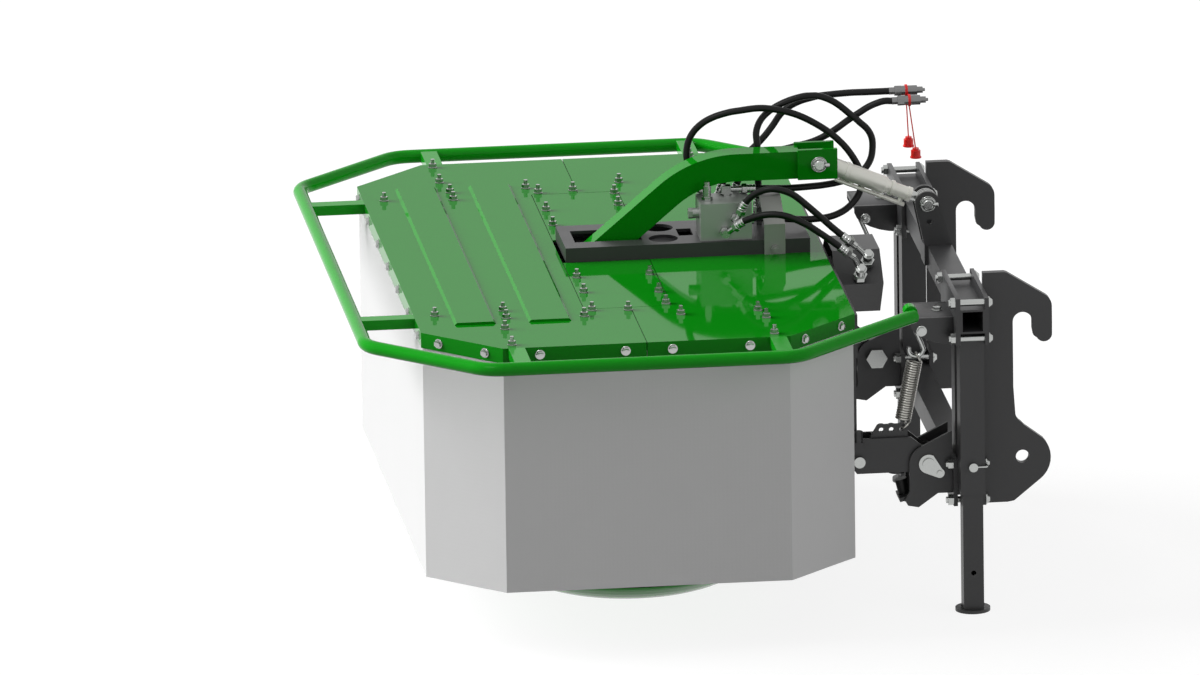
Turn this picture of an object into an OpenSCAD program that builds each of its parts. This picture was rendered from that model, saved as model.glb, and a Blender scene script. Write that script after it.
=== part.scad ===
// Front-mounted drum mower: a sheet-metal mowing deck over two cutting drums,
// carried by two lower arms and a top link on a bolted quick-hitch headstock.
// X runs from the deck towards the tractor, Y across, Z up; left is the -Y side.
// Inside the modules X is counted from the crossbars' centre plane (at_head).

/* [Headstock] */
// Side of the square tube of crossbars, uprights and stand sleeves
bar = 60; // [50:1:80]
// Wall of that tube
bar_wall = 5; // [3:0.5:8]
// Height of the upper crossbar's centre
upper_bar_z = 745; // [700:1:800]
// Height of the lower crossbar's centre
lower_bar_z = 315; // [300:1:340]
// Overall length of the upper crossbar
upper_bar_len = 1310; // [1300:1:1400]
// Distance of an upright's centre from the middle
post_y = 500; // [480:1:510]
// Distance between the two hook plates, centre to centre
hook_span = 1065; // [1040:1:1090]
// Thickness of a hook plate
hook_t = 20; // [15:1:25]
// Width of the hook's open slot
hook_slot = 48; // [40:1:56]
// Diameter of the lower locking hole in a hook plate
hook_hole_d = 33; // [28:0.5:36]
// Thickness of the clamp plates on the crossbars
clamp_t = 10; // [8:1:14]
// Diameter of the clamp bolts
clamp_bolt_d = 16; // [12:1:20]

/* [Stand legs] */
// Distance of a stand leg's centre from the middle
leg_y = 600; // [595:1:620]
// Side of the square leg tube
leg = 50; // [40:1:52]
// Height of the leg tube's top above the ground
leg_top = 440; // [410:1:450]
// Diameter of the round foot
foot_d = 86; // [70:1:110]
// Thickness of the foot
foot_t = 8; // [5:1:12]
// Diameter of the lock pin through sleeve and leg
leg_pin_d = 12; // [10:1:16]
// Height of the lock pin
leg_pin_z = 372; // [360:1:390]
// Height of the spare hole that holds the raised leg
leg_hole_z = 100; // [70:1:160]

/* [Lower arms] */
// Distance of an arm's centre from the middle
arm_y = 500; // [495:1:505]
// Width of an arm
arm_w = 70; // [64:1:74]
// Depth of an arm
arm_h = 88; // [80:1:92]
// Wall of an arm
arm_wall = 8; // [6:1:10]
// Distance of the arm pivot in front of the crossbars
pivot_x = 99; // [90:1:110]
// Height of the arm pivot
pivot_z = 361; // [350:1:370]
// Diameter of the arm pivot pin
pivot_d = 30; // [25:1:35]
// Distance between the arm pivot and the deck pivot along X
arm_reach = 169; // [165:1:172]
// Height of the deck pivot
deck_pivot_z = 370; // [360:1:380]
// Diameter of the deck pivot bolt
deck_pivot_d = 20; // [16:1:24]
// Angle by which the arms drop before they reach the buffers
arm_drop = 14; // [10:1:18]

/* [Lift springs] */
// Wire of a lift spring
spring_wire = 5.2; // [4:0.1:6]
// Mean diameter of a lift spring's coils
spring_mean_d = 35; // [30:0.5:40]
// Number of coils
spring_turns = 24; // [20:1:26]
// Wire of the S-shaped hooks above the springs
hook_wire = 9; // [7:0.5:10]

/* [Top link] */
// Height of the mast pin
mast_z = 881; // [860:1:900]
// Distance of the mast pin in front of the crossbars
mast_x = 29; // [20:1:40]
// Diameter of the mast pin and the clevis pin
link_pin_d = 25; // [19:0.5:28]
// Distance of the clevis pin in front of the crossbars
clevis_x = 298; // [290:1:310]
// Height of the clevis pin
clevis_z = 995; // [985:1:1005]
// Diameter of the top link's thick tube
link_d = 38; // [32:1:44]

/* [Deck] */
// Gap between the crossbars' centre and the rear edge of the deck
deck_gap = 296; // [290:1:310]
// Length of the deck
deck_len = 1065; // [1040:1:1100]
// Width of the deck
deck_w = 1756; // [1740:1:1800]
// Size of the deck's 45 degree corner cuts
deck_cut = 180; // [150:1:210]
// Height of the deck's top
deck_top = 791; // [780:1:800]
// Thickness of the deck sheet
sheet = 4; // [3:0.5:5]
// Height of the deck's edge flange
flange_h = 38; // [30:1:45]
// Height of the curtain's lower edge
curtain_z = 173; // [165:1:200]
// Thickness of the curtain
curtain_t = 5; // [2:0.5:6]
// Width of the central beam
beam_w = 214; // [200:1:220]
// Depth of the central beam
beam_h = 36; // [30:1:45]

/* [Guard rail] */
// Diameter of the guard rail tube
rail_d = 33.7; // [26.9:0.1:38]
// Wall of the guard rail tube
rail_wall = 3; // [2:0.5:4]
// Distance from the deck's edge to the middle of the rail
rail_gap = 140; // [120:1:160]
// Height of the rail's centre
rail_z = 777; // [770:1:780]
// Inner bend radius of the rail, to the tube's middle
rail_bend = 90; // [60:1:120]

/* [Drums] */
// Distance of a drum's axis from the middle
drum_y = 420; // [415:1:425]
// Radius of the drum shell
drum_r = 250; // [230:1:270]
// Radius of the cutting disc
disc_r = 300; // [290:1:305]
// Radius of the skid disc
skid_r = 320; // [310:1:325]
// Height of the skid disc's underside
skid_z = 76; // [72:1:84]
// Radius at which the blades are hung
blade_pin_r = 262; // [250:1:270]
// Radius of the circle that the blade tips cut
blade_tip_r = 408; // [395:1:409]
// Number of blades on a drum
blades_per_drum = 3; // [3:1:3]
// Thickness of a blade
blade_t = 4; // [3:0.5:4]

/* [Hydraulics] */
// Outer diameter of the hydraulic hoses
hose_d = 17; // [14:0.5:18]
// Diameter of the quick couplers
coupler_d = 24; // [22:1:28]

/* [Hidden] */
$fn = 48;

black = [0.16, 0.16, 0.17];
green = [0.10, 0.52, 0.12];
zinc = [0.72, 0.73, 0.74];
steel = [0.62, 0.61, 0.58];
rubber = [0.07, 0.07, 0.07];
fabric = [0.86, 0.87, 0.87];
red = [0.85, 0.08, 0.08];

// Clearances
flat_gap = 0.3;
pin_gap = 0.05;
bolt_gap = 0.5;
leg_gap = 0.5;
cheek_gap = 1;
weld_gap = 0.2;

// Frame of the headstock: the origin lies under the middle of the outline
hook_reach = 210;
reach_front = deck_gap + deck_len + rail_gap + rail_d / 2;
head_x = (reach_front - hook_reach) / 2;

// Levels and places that several pieces share
half_bar = bar / 2;
face_x = half_bar + clamp_t;
hook_y = hook_span / 2;
bolt_r = clamp_bolt_d / 2;
nut_h = 13;
head_h = 10;
clamp_margin = 36;
row_gap = bolt_r + 14;
upper_end_y = upper_bar_len / 2;
upper_bolt_ys = [leg_y + half_bar + bolt_r + 2, leg_y - 203];
lower_bolt_ys = [hook_y + hook_t / 2 + 15.5, hook_y - 94.5];
cheek_t = 10;
spring_y = arm_y + arm_w / 2 - arm_wall - 5;
cheek_out_y = spring_y - hook_wire / 2 - 1;
cheek_in_y = cheek_out_y - 144;
arm_x1 = pivot_x + arm_reach;
arm_top = pivot_z + 66;
arm_bot = arm_top - arm_h;
deck_rear_x = -deck_gap;
deck_front_x = deck_rear_x - deck_len;
deck_under = deck_top - sheet;
flange_z = deck_top - flange_h;
beam_top = deck_top + beam_h;
beam_x0 = -935;
beam_x1 = -330;
half_w = deck_w / 2;
side_x0 = deck_front_x + deck_cut;
side_x1 = deck_rear_x - deck_cut;
drum_x = -828;
seam_gap = 2;
panel_x0 = -944;
panel_x1 = -727;
panel_y0 = beam_w / 2 + seam_gap;
panel_y1 = 546;
drive_z = 680;
housing_z0 = 640;
housing_z1 = 711;
spindle_z0 = 200;
shaft_r = 25;
plate_x0 = deck_rear_x + seam_gap;
plate_x1 = plate_x0 + 22;
frame_z1 = deck_under;
frame_h = 36;
tube_wall = 4;
block_x0 = -599;
block_x1 = -472;
block_y0 = -95;
block_y1 = 9;
block_top = beam_top + 93;
blade_z = 151.7;

// Helpers

function unit(v) = v / norm(v);
function arc(cx, cy, r, a0, a1, n) =
    [for (i = [0:n]) let (a = a0 + (a1 - a0) * i / n) [cx + r * cos(a), cy + r * sin(a)]];
function octagon(t) = let (c = deck_cut - (2 - sqrt(2)) * t,
    x0 = deck_front_x + t, x1 = deck_rear_x - t, h = half_w - t)
    [[x0, -h + c], [x0 + c, -h], [x1 - c, -h], [x1, -h + c],
     [x1, h - c], [x1 - c, h], [x0 + c, h], [x0, h - c]];
function directions(p) = let (n = len(p) - 1)
    [for (i = [0:n]) unit(p[min(i + 1, n)] - p[max(i - 1, 0)])];
function carry(t, i, v) = i == len(t) ? [] :
    let (u = unit(v - (v * t[i]) * t[i])) concat([u], carry(t, i + 1, u));
function shift(p, v) = [for (q = p) q + v];

module at_head() translate([head_x, 0, 0]) children();
module both() { children(); mirror([0, 1, 0]) children(); }
module hand(s) { if (s < 0) children(); else mirror([0, 1, 0]) children(); }
module box(x0, x1, y0, y1, z0, z1)
    translate([x0, y0, z0]) cube([x1 - x0, y1 - y0, z1 - z0]);
module y_plate(y0, y1)
    translate([0, y1, 0]) rotate([90, 0, 0]) linear_extrude(y1 - y0) children();
module x_plate(x0, x1)
    translate([x0, 0, 0]) rotate([90, 0, 90]) linear_extrude(x1 - x0) children();
module z_plate(z0, z1) translate([0, 0, z0]) linear_extrude(z1 - z0) children();
module y_rod(x, z, r, y0, y1)
    translate([x, y1, z]) rotate([90, 0, 0]) cylinder(r = r, h = y1 - y0);
module x_rod(y, z, r, x0, x1)
    translate([x0, y, z]) rotate([0, 90, 0]) cylinder(r = r, h = x1 - x0);
module z_rod(x, y, r, z0, z1) translate([x, y, z0]) cylinder(r = r, h = z1 - z0);
module hex(af, h) cylinder(r = af / sqrt(3), h = h, $fn = 6);
module x_hex(y, z, af, x0, x1)
    translate([x0, y, z]) rotate([0, 90, 0]) hex(af, x1 - x0);
module y_hex(x, z, af, y0, y1)
    translate([x, y1, z]) rotate([90, 0, 0]) hex(af, y1 - y0);
module z_hex(x, y, af, z0, z1) translate([x, y, z0]) hex(af, z1 - z0);

// Square tube along an axis, open at both ends
module y_tube(x, z, size, wall, y0, y1) difference() {
    box(x - size / 2, x + size / 2, y0, y1, z - size / 2, z + size / 2);
    box(x - size / 2 + wall, x + size / 2 - wall, y0 - 1, y1 + 1,
        z - size / 2 + wall, z + size / 2 - wall);
}
module z_tube(x, y, size, wall, z0, z1) difference() {
    box(x - size / 2, x + size / 2, y - size / 2, y + size / 2, z0, z1);
    box(x - size / 2 + wall, x + size / 2 - wall, y - size / 2 + wall,
        y + size / 2 - wall, z0 - 1, z1 + 1);
}
module x_channel(x0, x1, y0, y1, z0, z1) difference() {
    box(x0, x1, y0, y1, z0, z1);
    box(x0 - 1, x1 + 1, y0 + tube_wall, y1 - tube_wall, z0 + tube_wall, z1 - tube_wall);
}
module y_channel(x0, x1, y0, y1, z0, z1) difference() {
    box(x0, x1, y0, y1, z0, z1);
    box(x0 + tube_wall, x1 - tube_wall, y0 - 1, y1 + 1, z0 + tube_wall, z1 - tube_wall);
}

// Round tube swept along a list of points
module sweep(p, r, n) {
    t = directions(p);
    first = abs(t[0][1]) > 0.9 ? [1, 0, 0] : [0, 1, 0];
    u = carry(t, 0, first);
    m = len(p);
    ring_points = [for (i = [0:m - 1]) for (k = [0:n - 1]) let (a = 360 * k / n)
        p[i] + r * (cos(a) * u[i] + sin(a) * cross(t[i], u[i]))];
    sides = [for (i = [0:m - 2]) for (k = [0:n - 1]) let (a = i * n + k, b = i * n + (k + 1) % n)
        each [[a, a + n, b], [b, a + n, b + n]]];
    ends = [[for (k = [0:n - 1]) k], [for (k = [n - 1:-1:0]) (m - 1) * n + k]];
    polyhedron(ring_points, concat(sides, ends));
}

// Tube in the XY plane: straight runs and true bends, butted with a hairline joint
butt = 0.02;
function turn(a, b, c) = let (d = unit(b - a), e = unit(c - b))
    atan2(d[0] * e[1] - d[1] * e[0], d * e);
module bent_tube(p, bend, r, wall) {
    n = len(p) - 1;
    for (i = [0:n - 1]) {
        d = unit(p[i + 1] - p[i]);
        s0 = i == 0 ? 0 : butt + bend * tan(abs(turn(p[i - 1], p[i], p[i + 1])) / 2);
        s1 = i == n - 1 ? 0 : butt + bend * tan(abs(turn(p[i], p[i + 1], p[i + 2])) / 2);
        run = norm(p[i + 1] - p[i]) - s0 - s1;
        start = p[i] + s0 * d;
        translate([start[0], start[1], 0]) rotate([0, 0, atan2(d[1], d[0])])
            rotate([0, 90, 0]) difference() {
                cylinder(r = r, h = run);
                translate([0, 0, -1]) cylinder(r = r - wall, h = run + 2);
            }
    }
    for (i = [1:n - 1]) {
        d = unit(p[i] - p[i - 1]);
        a = turn(p[i - 1], p[i], p[i + 1]);
        s = sign(a);
        back = p[i] - bend * tan(abs(a) / 2) * d;
        c = back + s * bend * [-d[1], d[0]];
        from = atan2(back[1] - c[1], back[0] - c[0]);
        translate([c[0], c[1], 0]) rotate([0, 0, s > 0 ? from : from - abs(a)])
            difference() {
                rotate_extrude(angle = abs(a)) translate([bend, 0]) circle(r = r);
                rotate([0, 0, -1]) rotate_extrude(angle = abs(a) + 2)
                    translate([bend, 0]) circle(r = r - wall);
            }
    }
}

// Headstock frame

module upper_crossbar() color(black) at_head()
    y_tube(0, upper_bar_z, bar, bar_wall, -upper_end_y, upper_end_y);

module lower_crossbar() color(black) at_head()
    y_tube(0, lower_bar_z, bar, bar_wall, -leg_y + half_bar, leg_y - half_bar);

module uprights() color(black) at_head() both()
    z_tube(0, -post_y, bar, bar_wall, lower_bar_z + half_bar, upper_bar_z - half_bar);

sleeve_z0 = lower_bar_z - half_bar + 15;
sleeve_wall = half_bar - leg / 2 - leg_gap;
module stand_sleeves() color(black) at_head() both() difference() {
    z_tube(0, -leg_y, bar, sleeve_wall, sleeve_z0, upper_bar_z - half_bar);
    y_rod(0, leg_pin_z, leg_pin_d / 2 + flat_gap, -leg_y - bar, -leg_y + bar);
}

module stand_legs() color(black) at_head() both() {
    difference() {
        z_tube(0, -leg_y, leg, 4, foot_t, leg_top);
        for (z = [leg_pin_z, leg_hole_z])
            y_rod(0, z, leg_pin_d / 2 + flat_gap, -leg_y - bar, -leg_y + bar);
    }
    z_rod(0, -leg_y, foot_d / 2, 0, foot_t);
}

pin_wire = 4;
module leg_pin(s) color(zinc) at_head() hand(s) {
    y0 = -leg_y - half_bar;
    y_rod(0, leg_pin_z, leg_pin_d / 2, y0 - 6, -leg_y + half_bar + 6);
    y_rod(0, leg_pin_z, 11, y0 - 14, y0 - flat_gap);
    translate([0, y0 - 9, leg_pin_z]) {
        x_rod(0, 0, pin_wire / 2, 10, half_bar - 2);
        translate([half_bar - 2, 8, 0]) rotate([0, 0, -90])
            rotate_extrude(angle = 90) translate([8, 0]) circle(r = pin_wire / 2, $fn = 24);
        y_rod(half_bar + 6, 0, pin_wire / 2, 8, 26);
        translate([half_bar + 6, 26, 0]) sphere(r = pin_wire / 2 + 2, $fn = 24);
    }
}
module leg_pin_left() leg_pin(-1);
module leg_pin_right() leg_pin(1);

// Outline of a hook plate: open hook on top, waist, rounded lower ear
ear_x = 134;
ear_z = 368;
ear_r = 70;
slot_x = 137;
slot_top = 734;
slot_left = slot_x - hook_slot / 2;
slot_right = slot_x + hook_slot / 2;
module hook_outline() {
    tip_r = 19;
    tip_x = hook_reach - tip_r;
    polygon(concat(
        [[face_x, 254], [97, 254]],
        arc(107, 270, 14, 285, 300, 2),
        [[ear_x + ear_r * cos(-48), ear_z - 4 + ear_r * sin(-48)]],
        arc(ear_x, ear_z - 4, ear_r, -40, 42, 8),
        [[139, 447]],
        arc(149, 482, 32, 238, 190, 4),
        [[slot_left, 546], [slot_left, slot_top - hook_slot / 2]],
        arc(slot_x, slot_top - hook_slot / 2, hook_slot / 2, 180, 0, 16),
        [[slot_right, 690], [slot_right + 3, 674]],
        arc(tip_x - 1, 677, tip_r + 1, 208, 350, 10),
        [[hook_reach, 700]],
        arc(hook_reach - 34, 746, 34, 0, 62, 6),
        [[100, 835]],
        arc(92, 825, 12, 60, 90, 3),
        [[face_x, 837]]));
}
module hook_plate(s) color(black) at_head() hand(s) difference() {
    y_plate(-hook_y - hook_t / 2, -hook_y + hook_t / 2) hook_outline();
    y_rod(ear_x, ear_z, hook_hole_d / 2, -hook_y - hook_t, -hook_y + hook_t);
}
module hook_plate_left() hook_plate(-1);
module hook_plate_right() hook_plate(1);

// Clamps that hold brackets and hook plates on the crossbars

clamp_out = upper_end_y;
upper_clamp_in = cheek_in_y;
lower_clamp_in = lower_bolt_ys[1] - 14;
lower_clamp_out = lower_bolt_ys[0] + 11;
module clamp_holes(bar_z, ys) for (y = ys) for (s = [-1, 1])
    x_rod(-y, bar_z + s * (half_bar + row_gap - 7), bolt_r + bolt_gap, -200, 200);
module clamp_plate(x0, bar_z, y_in, y_out, ys) difference() {
    box(x0, x0 + clamp_t, -y_out, -y_in, bar_z - half_bar - clamp_margin + 7,
        bar_z + half_bar + clamp_margin - 7);
    clamp_holes(bar_z, ys);
}
module clamp_plates() color(black) at_head() both() {
    clamp_plate(half_bar, upper_bar_z, upper_clamp_in, clamp_out, upper_bolt_ys);
    clamp_plate(half_bar, lower_bar_z, lower_clamp_in, lower_clamp_out, lower_bolt_ys);
}
module clamp_bolts() color(zinc) at_head() both()
    for (set = [[upper_bar_z, upper_bolt_ys], [lower_bar_z, lower_bolt_ys]])
        for (y = set[1]) for (s = [-1, 1]) {
            z = set[0] + s * (half_bar + row_gap - 7);
            x_rod(-y, z, bolt_r, -face_x - nut_h - 5, face_x);
            x_hex(-y, z, clamp_bolt_d * 1.5, -face_x - nut_h, -face_x);
            x_rod(-y, z, clamp_bolt_d * 0.88, face_x, face_x + 3);
            translate([face_x + 3, -y, z]) rotate([0, 90, 0])
                cylinder(r1 = clamp_bolt_d * 0.8, r2 = clamp_bolt_d * 0.45, h = head_h - 3, $fn = 48);
        }

// Mast: two cheeks on the upper crossbar with gussets
mast_in = 26;
module mast() color(black) at_head() {
    z0 = upper_bar_z + half_bar;
    both() difference() {
        y_plate(-mast_in - cheek_t, -mast_in) polygon(concat(
            [[-half_bar - 8, z0], [half_bar, z0]],
            [[-mast_x + 31, mast_z - 4]],
            arc(-mast_x, mast_z, 31, 0, 180, 16)));
        y_rod(-mast_x, mast_z, link_pin_d / 2 + pin_gap, -100, 100);
        y_rod(-mast_x + 4, mast_z - 46, 7, -100, 100);
    }
    box(-half_bar - 8, -half_bar, -mast_in - cheek_t, mast_in + cheek_t, z0 - 50, z0);
    box(-half_bar + 2, half_bar - 6, -mast_in, mast_in, z0, z0 + 8);
}
module mast_pin() color(zinc) at_head() {
    y_rod(-mast_x, mast_z, link_pin_d / 2, -mast_in - cheek_t - 16, mast_in + cheek_t + 10);
    both() difference() {
        y_rod(-mast_x, mast_z, 24, -mast_in - cheek_t - 4, -mast_in - cheek_t);
        y_rod(-mast_x, mast_z, link_pin_d / 2 + pin_gap, -100, 100);
    }
    y_rod(-mast_x, mast_z, 18, mast_in + cheek_t + 4, mast_in + cheek_t + 12);
}

// Upper brackets: two curved cheeks that carry the spring hooks
s_bolt = [-109, 687];
s_bolt_r = 6;
module upper_bracket(s) color(black) at_head() hand(s) {
    clamp_plate(-face_x, upper_bar_z, upper_clamp_in, clamp_out, upper_bolt_ys);
    for (y = [cheek_out_y, cheek_in_y + cheek_t]) difference() {
        y_plate(-y, -y + cheek_t) polygon(concat(
            [[-face_x, upper_bar_z + 57], [-152, upper_bar_z + 32]],
            arc(-72, upper_bar_z, 82, 180, 270, 16),
            [[-face_x, upper_bar_z - 82]]));
        y_rod(s_bolt[0], s_bolt[1], s_bolt_r + bolt_gap, -y - 1, -y + cheek_t + 1);
    }
}
module upper_bracket_left() upper_bracket(-1);
module upper_bracket_right() upper_bracket(1);

// Lower brackets: cheeks round the arm pivot and a plate under the buffer
cheek_y0 = arm_y - arm_w / 2 - cheek_gap - cheek_t;
cheek_y1 = arm_y + arm_w / 2 + cheek_gap + cheek_t;
disc_dx = 73;
disc_r_small = 22;
disc_h = 8;
disc_z = arm_bot - disc_h;
buffer_len = 38;
buffer_r = 15;
pivot = [-pivot_x, pivot_z];
function swing(p, a) = [p[0] * cos(a) - p[1] * sin(a), p[0] * sin(a) + p[1] * cos(a)];
stop_top = pivot + swing([-disc_dx, disc_z - pivot_z], arm_drop);
module at_stop() translate([stop_top[0], 0, stop_top[1]]) rotate([0, -arm_drop, 0]) children();
module lower_bracket(s) color(black) at_head() hand(s) {
    clamp_plate(-face_x, lower_bar_z, lower_clamp_in, lower_clamp_out, lower_bolt_ys);
    for (y = [cheek_y1, cheek_y0 + cheek_t]) difference() {
        y_plate(-y, -y + cheek_t) polygon(concat(
            [[-face_x, pivot_z + 81]],
            arc(-pivot_x, pivot_z, 47, 104, 180, 12),
            [[-pivot_x - 47, 292], [-158, 270], [-150, 256], [-124, 251], [-76, 285],
             [-face_x, 285]]));
        y_rod(-pivot_x, pivot_z, pivot_d / 2 + pin_gap, -y - 1, -y + cheek_t + 1);
    }
    at_stop() difference() {
        box(-18, 20, -cheek_y1 + cheek_t, -cheek_y0 - cheek_t,
            -buffer_len - 10 - flat_gap, -buffer_len - flat_gap);
        z_rod(0, -arm_y, 5 + bolt_gap, -buffer_len - 30, -buffer_len + 10);
    }
}
module lower_bracket_left() lower_bracket(-1);
module lower_bracket_right() lower_bracket(1);

module buffers() color(rubber) at_head() both() at_stop() {
    z_rod(0, -arm_y, buffer_r, -buffer_len - flat_gap, -flat_gap);
    z_rod(0, -arm_y, 5, -buffer_len - 22, -buffer_len);
    z_hex(0, -arm_y, 17, -buffer_len - 19, -buffer_len - 10 - flat_gap);
}

// Arm pivot pins with a hexagon head inside and a lock plate outside
lock_x = 27;
lock_z = -24;
module pivot_pins() color(zinc) at_head() both() {
    y_rod(-pivot_x, pivot_z, pivot_d / 2, -cheek_y1 - 12, -cheek_y0);
    y_hex(-pivot_x, pivot_z, 46, -cheek_y0, -cheek_y0 + 18);
    difference() {
        y_plate(-cheek_y1 - 6, -cheek_y1) polygon(concat(
            arc(-pivot_x, pivot_z, 24, 60, 245, 16),
            arc(-pivot_x + lock_x, pivot_z + lock_z, 12, 245, 420, 12)));
        y_rod(-pivot_x, pivot_z, pivot_d / 2, -cheek_y1 - 7, -cheek_y1 + 1);
    }
    y_rod(-pivot_x + lock_x, pivot_z + lock_z, 7, -cheek_y1 - 11, -cheek_y1 - 6);
}

// Lift springs: S-hook above, close-wound spring, hook in the arm's lug
lug_holes = [-212, -187, -162];
lug_z = 446;
lug_hole_r = 6;
s_low = [-124, 641];
s_up_r = s_bolt_r + hook_wire / 2 + bolt_gap;
s_low_r = 12;
module s_hooks() color(zinc) at_head() both() {
    route = concat(arc(s_bolt[0], s_bolt[1], s_up_r, -40, 205, 12),
        arc(s_low[0], s_low[1], s_low_r, 15, -200, 12));
    sweep([for (q = route) [q[0], -spring_y, q[1]]], hook_wire / 2, 8);
    y_rod(s_bolt[0], s_bolt[1], s_bolt_r, -spring_y - 14, -cheek_out_y + cheek_t + 14);
    y_hex(s_bolt[0], s_bolt[1], 19, -spring_y - 14, -spring_y - hook_wire / 2 - 1);
    y_hex(s_bolt[0], s_bolt[1], 19, -cheek_out_y + cheek_t, -cheek_out_y + cheek_t + 10);
}
spring_bottom = [lug_holes[2], lug_z + 1.9];
spring_top = [s_low[0], s_low[1] - s_low_r + hook_wire / 2 + spring_wire / 2 + flat_gap];
loop_r = 14;
loop_in = asin(spring_mean_d / 4 / loop_r);
loop_rise = 2 * loop_r * cos(loop_in);
spring_len = norm(spring_top - spring_bottom);
coil_len = spring_len - 2 * loop_rise;
function loop(z, s, a0, a1, n) = [for (i = [0:n]) let (a = a0 + (a1 - a0) * i / n)
    [spring_mean_d / 2 - loop_r * (1 - cos(a)) * sin(loop_in), s * loop_r * sin(a),
     z + s * loop_r * (1 - cos(a)) * cos(loop_in)]];
coil_rings = 8;
function spring_path() = concat(
    loop(loop_rise, -1, 285, 30, 11),
    [for (i = [0:spring_turns * coil_rings]) let (a = 360 * i / coil_rings)
        [spring_mean_d / 2 * cos(a), spring_mean_d / 2 * sin(a),
         loop_rise + coil_len * i / (spring_turns * coil_rings)]],
    loop(loop_rise + coil_len, 1, 30, 285, 11));
function least_gap(p, apart) = min([for (i = [0:len(p) - 1]) for (j = [i + apart:1:len(p) - 1])
    norm(p[i] - p[j])]) - spring_wire;
module spring(s) color(steel) at_head() hand(s) {
    lean = atan2(spring_top[0] - spring_bottom[0], spring_top[1] - spring_bottom[1]);
    path = spring_path();
    echo(least_spring_gap = least_gap(path, 5));
    translate([spring_bottom[0], -spring_y, spring_bottom[1]]) rotate([0, lean, 0])
        sweep(path, spring_wire / 2, 6);
}
module spring_left() spring(-1);
module spring_right() spring(1);

// Lower arms: welded boxes with a pivot boss, a lug and a stop disc
arm_nose = arm_x1 + 16;
module arm_outline() polygon(concat(
    [[-arm_nose, arm_bot + 14], [-arm_nose + 10, arm_bot], [-150, arm_bot]],
    arc(-pivot_x, pivot_z, 36, -98, 98, 20),
    [[-140, arm_top], [-arm_nose + 10, arm_top], [-arm_nose, arm_top - 14]]));
module lug_outline() polygon(concat(
    [[-240, arm_top - 20], [-240, arm_top]],
    arc(lug_holes[0], lug_z, 15, 130, 60, 4),
    arc(lug_holes[1], lug_z, 15, 120, 60, 4),
    arc(lug_holes[2], lug_z, 15, 120, 10, 6),
    [[-147, arm_top - 20]]));
module lower_arm(s) color(black) at_head() hand(s) difference() {
    y0 = -arm_y - arm_w / 2;
    y1 = -arm_y + arm_w / 2;
    union() {
        y_plate(y0, y0 + arm_wall) arm_outline();
        y_plate(y1 - arm_wall, y1) arm_outline();
        box(-232, -150, y0 + arm_wall, y1 - arm_wall, arm_top - arm_wall, arm_top);
        box(-232, -142, y0 + arm_wall, y1 - arm_wall, arm_bot, arm_bot + arm_wall);
        y_rod(-pivot_x, pivot_z, 30, y0, y1);
        y_plate(-spring_y - 5, -spring_y + 5) lug_outline();
        z_rod(-pivot_x - disc_dx, -arm_y, disc_r_small, disc_z, arm_bot);
        z_hex(-arm_x1 - 3, y0 - 10, 19, arm_top - 4, arm_top + 24);
        box(-arm_x1 - 14, -arm_x1 + 8, y0 - 20, y0, arm_top - 30, arm_top - 4);
    }
    y_rod(-pivot_x, pivot_z, pivot_d / 2 + pin_gap, y0 - 1, y1 + 1);
    y_rod(-arm_x1, deck_pivot_z, deck_pivot_d / 2, y0 - 1, y1 + 1);
    for (x = lug_holes)
        y_rod(x, lug_z, lug_hole_r, -spring_y - 6, -spring_y + 6);
}
module lower_arm_left() lower_arm(-1);
module lower_arm_right() lower_arm(1);

module arm_bolts() color(zinc) at_head() both() {
    y0 = -arm_y - arm_w / 2;
    y1 = -arm_y + arm_w / 2;
    y_rod(-arm_x1, deck_pivot_z, deck_pivot_d / 2, y0, y1 + 18);
    y_rod(-arm_x1, deck_pivot_z, 14, y0 - 10, y0);
    y_hex(-arm_x1, deck_pivot_z, 30, y1, y1 + 14);
}

// Top link: two threaded ends in a tube with a turning bar
link_a = [-mast_x, mast_z];
link_b = [-clevis_x, clevis_z];
link_len = norm(link_a - link_b);
link_tilt = atan2(link_a[0] - link_b[0], link_a[1] - link_b[1]);
eye_gap = 2.1;
ball_r = 24;
module at_link() translate([link_b[0], 0, link_b[1]]) rotate([0, link_tilt, 0]) children();
module top_link_barrel() color(steel) at_head() at_link() difference() {
    union() {
        cylinder(r = link_d / 2, h = link_len * 0.66 - 42);
        translate([0, 0, 50]) cylinder(r = link_d / 2 - 1, h = link_len * 0.66 - 50);
        translate([0, 0, link_len * 0.66]) cylinder(r1 = link_d / 2 - 1, r2 = 15, h = 10);
        translate([0, 0, link_len * 0.66 + 10]) cylinder(r = 15, h = 50);
        translate([0, 0, 84]) cylinder(r = link_d / 2 + 2, h = 9);
        for (z = [98, 228]) translate([12, -5, z]) cube([16, 10, 8]);
        translate([27, 0, 60]) cylinder(r = 5, h = 186);
    }
    translate([0, 0, -1]) cylinder(r = 60, h = 45);
    translate([0, 0, 30]) cylinder(r = 11.5 + pin_gap, h = link_len);
}
module top_link_ends() color(zinc) at_head() at_link() {
    difference() {
        union() {
            rotate([90, 0, 0]) translate([0, 0, -22]) cylinder(r = 25, h = 44);
            cylinder(r = 11.5, h = 100);
        }
        rotate([90, 0, 0]) translate([0, 0, -60])
            cylinder(r = link_pin_d / 2 + eye_gap, h = 120);
    }
    difference() {
        translate([0, 0, link_len - 110]) union() {
            cylinder(r = 11.5, h = 110);
            translate([0, 0, 110]) rotate([90, 0, 0]) translate([0, 0, -mast_in + 1])
                cylinder(r = ball_r, h = 2 * mast_in - 2);
            for (y = [-16, -5, 6]) translate([0, y, 110]) rotate([90, 0, 0])
                translate([0, 0, -5]) cylinder(r = ball_r + 4, h = 6);
        }
        translate([0, 0, link_len]) rotate([90, 0, 0]) translate([0, 0, -60])
            cylinder(r = link_pin_d / 2 + pin_gap, h = 120);
    }
}

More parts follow.
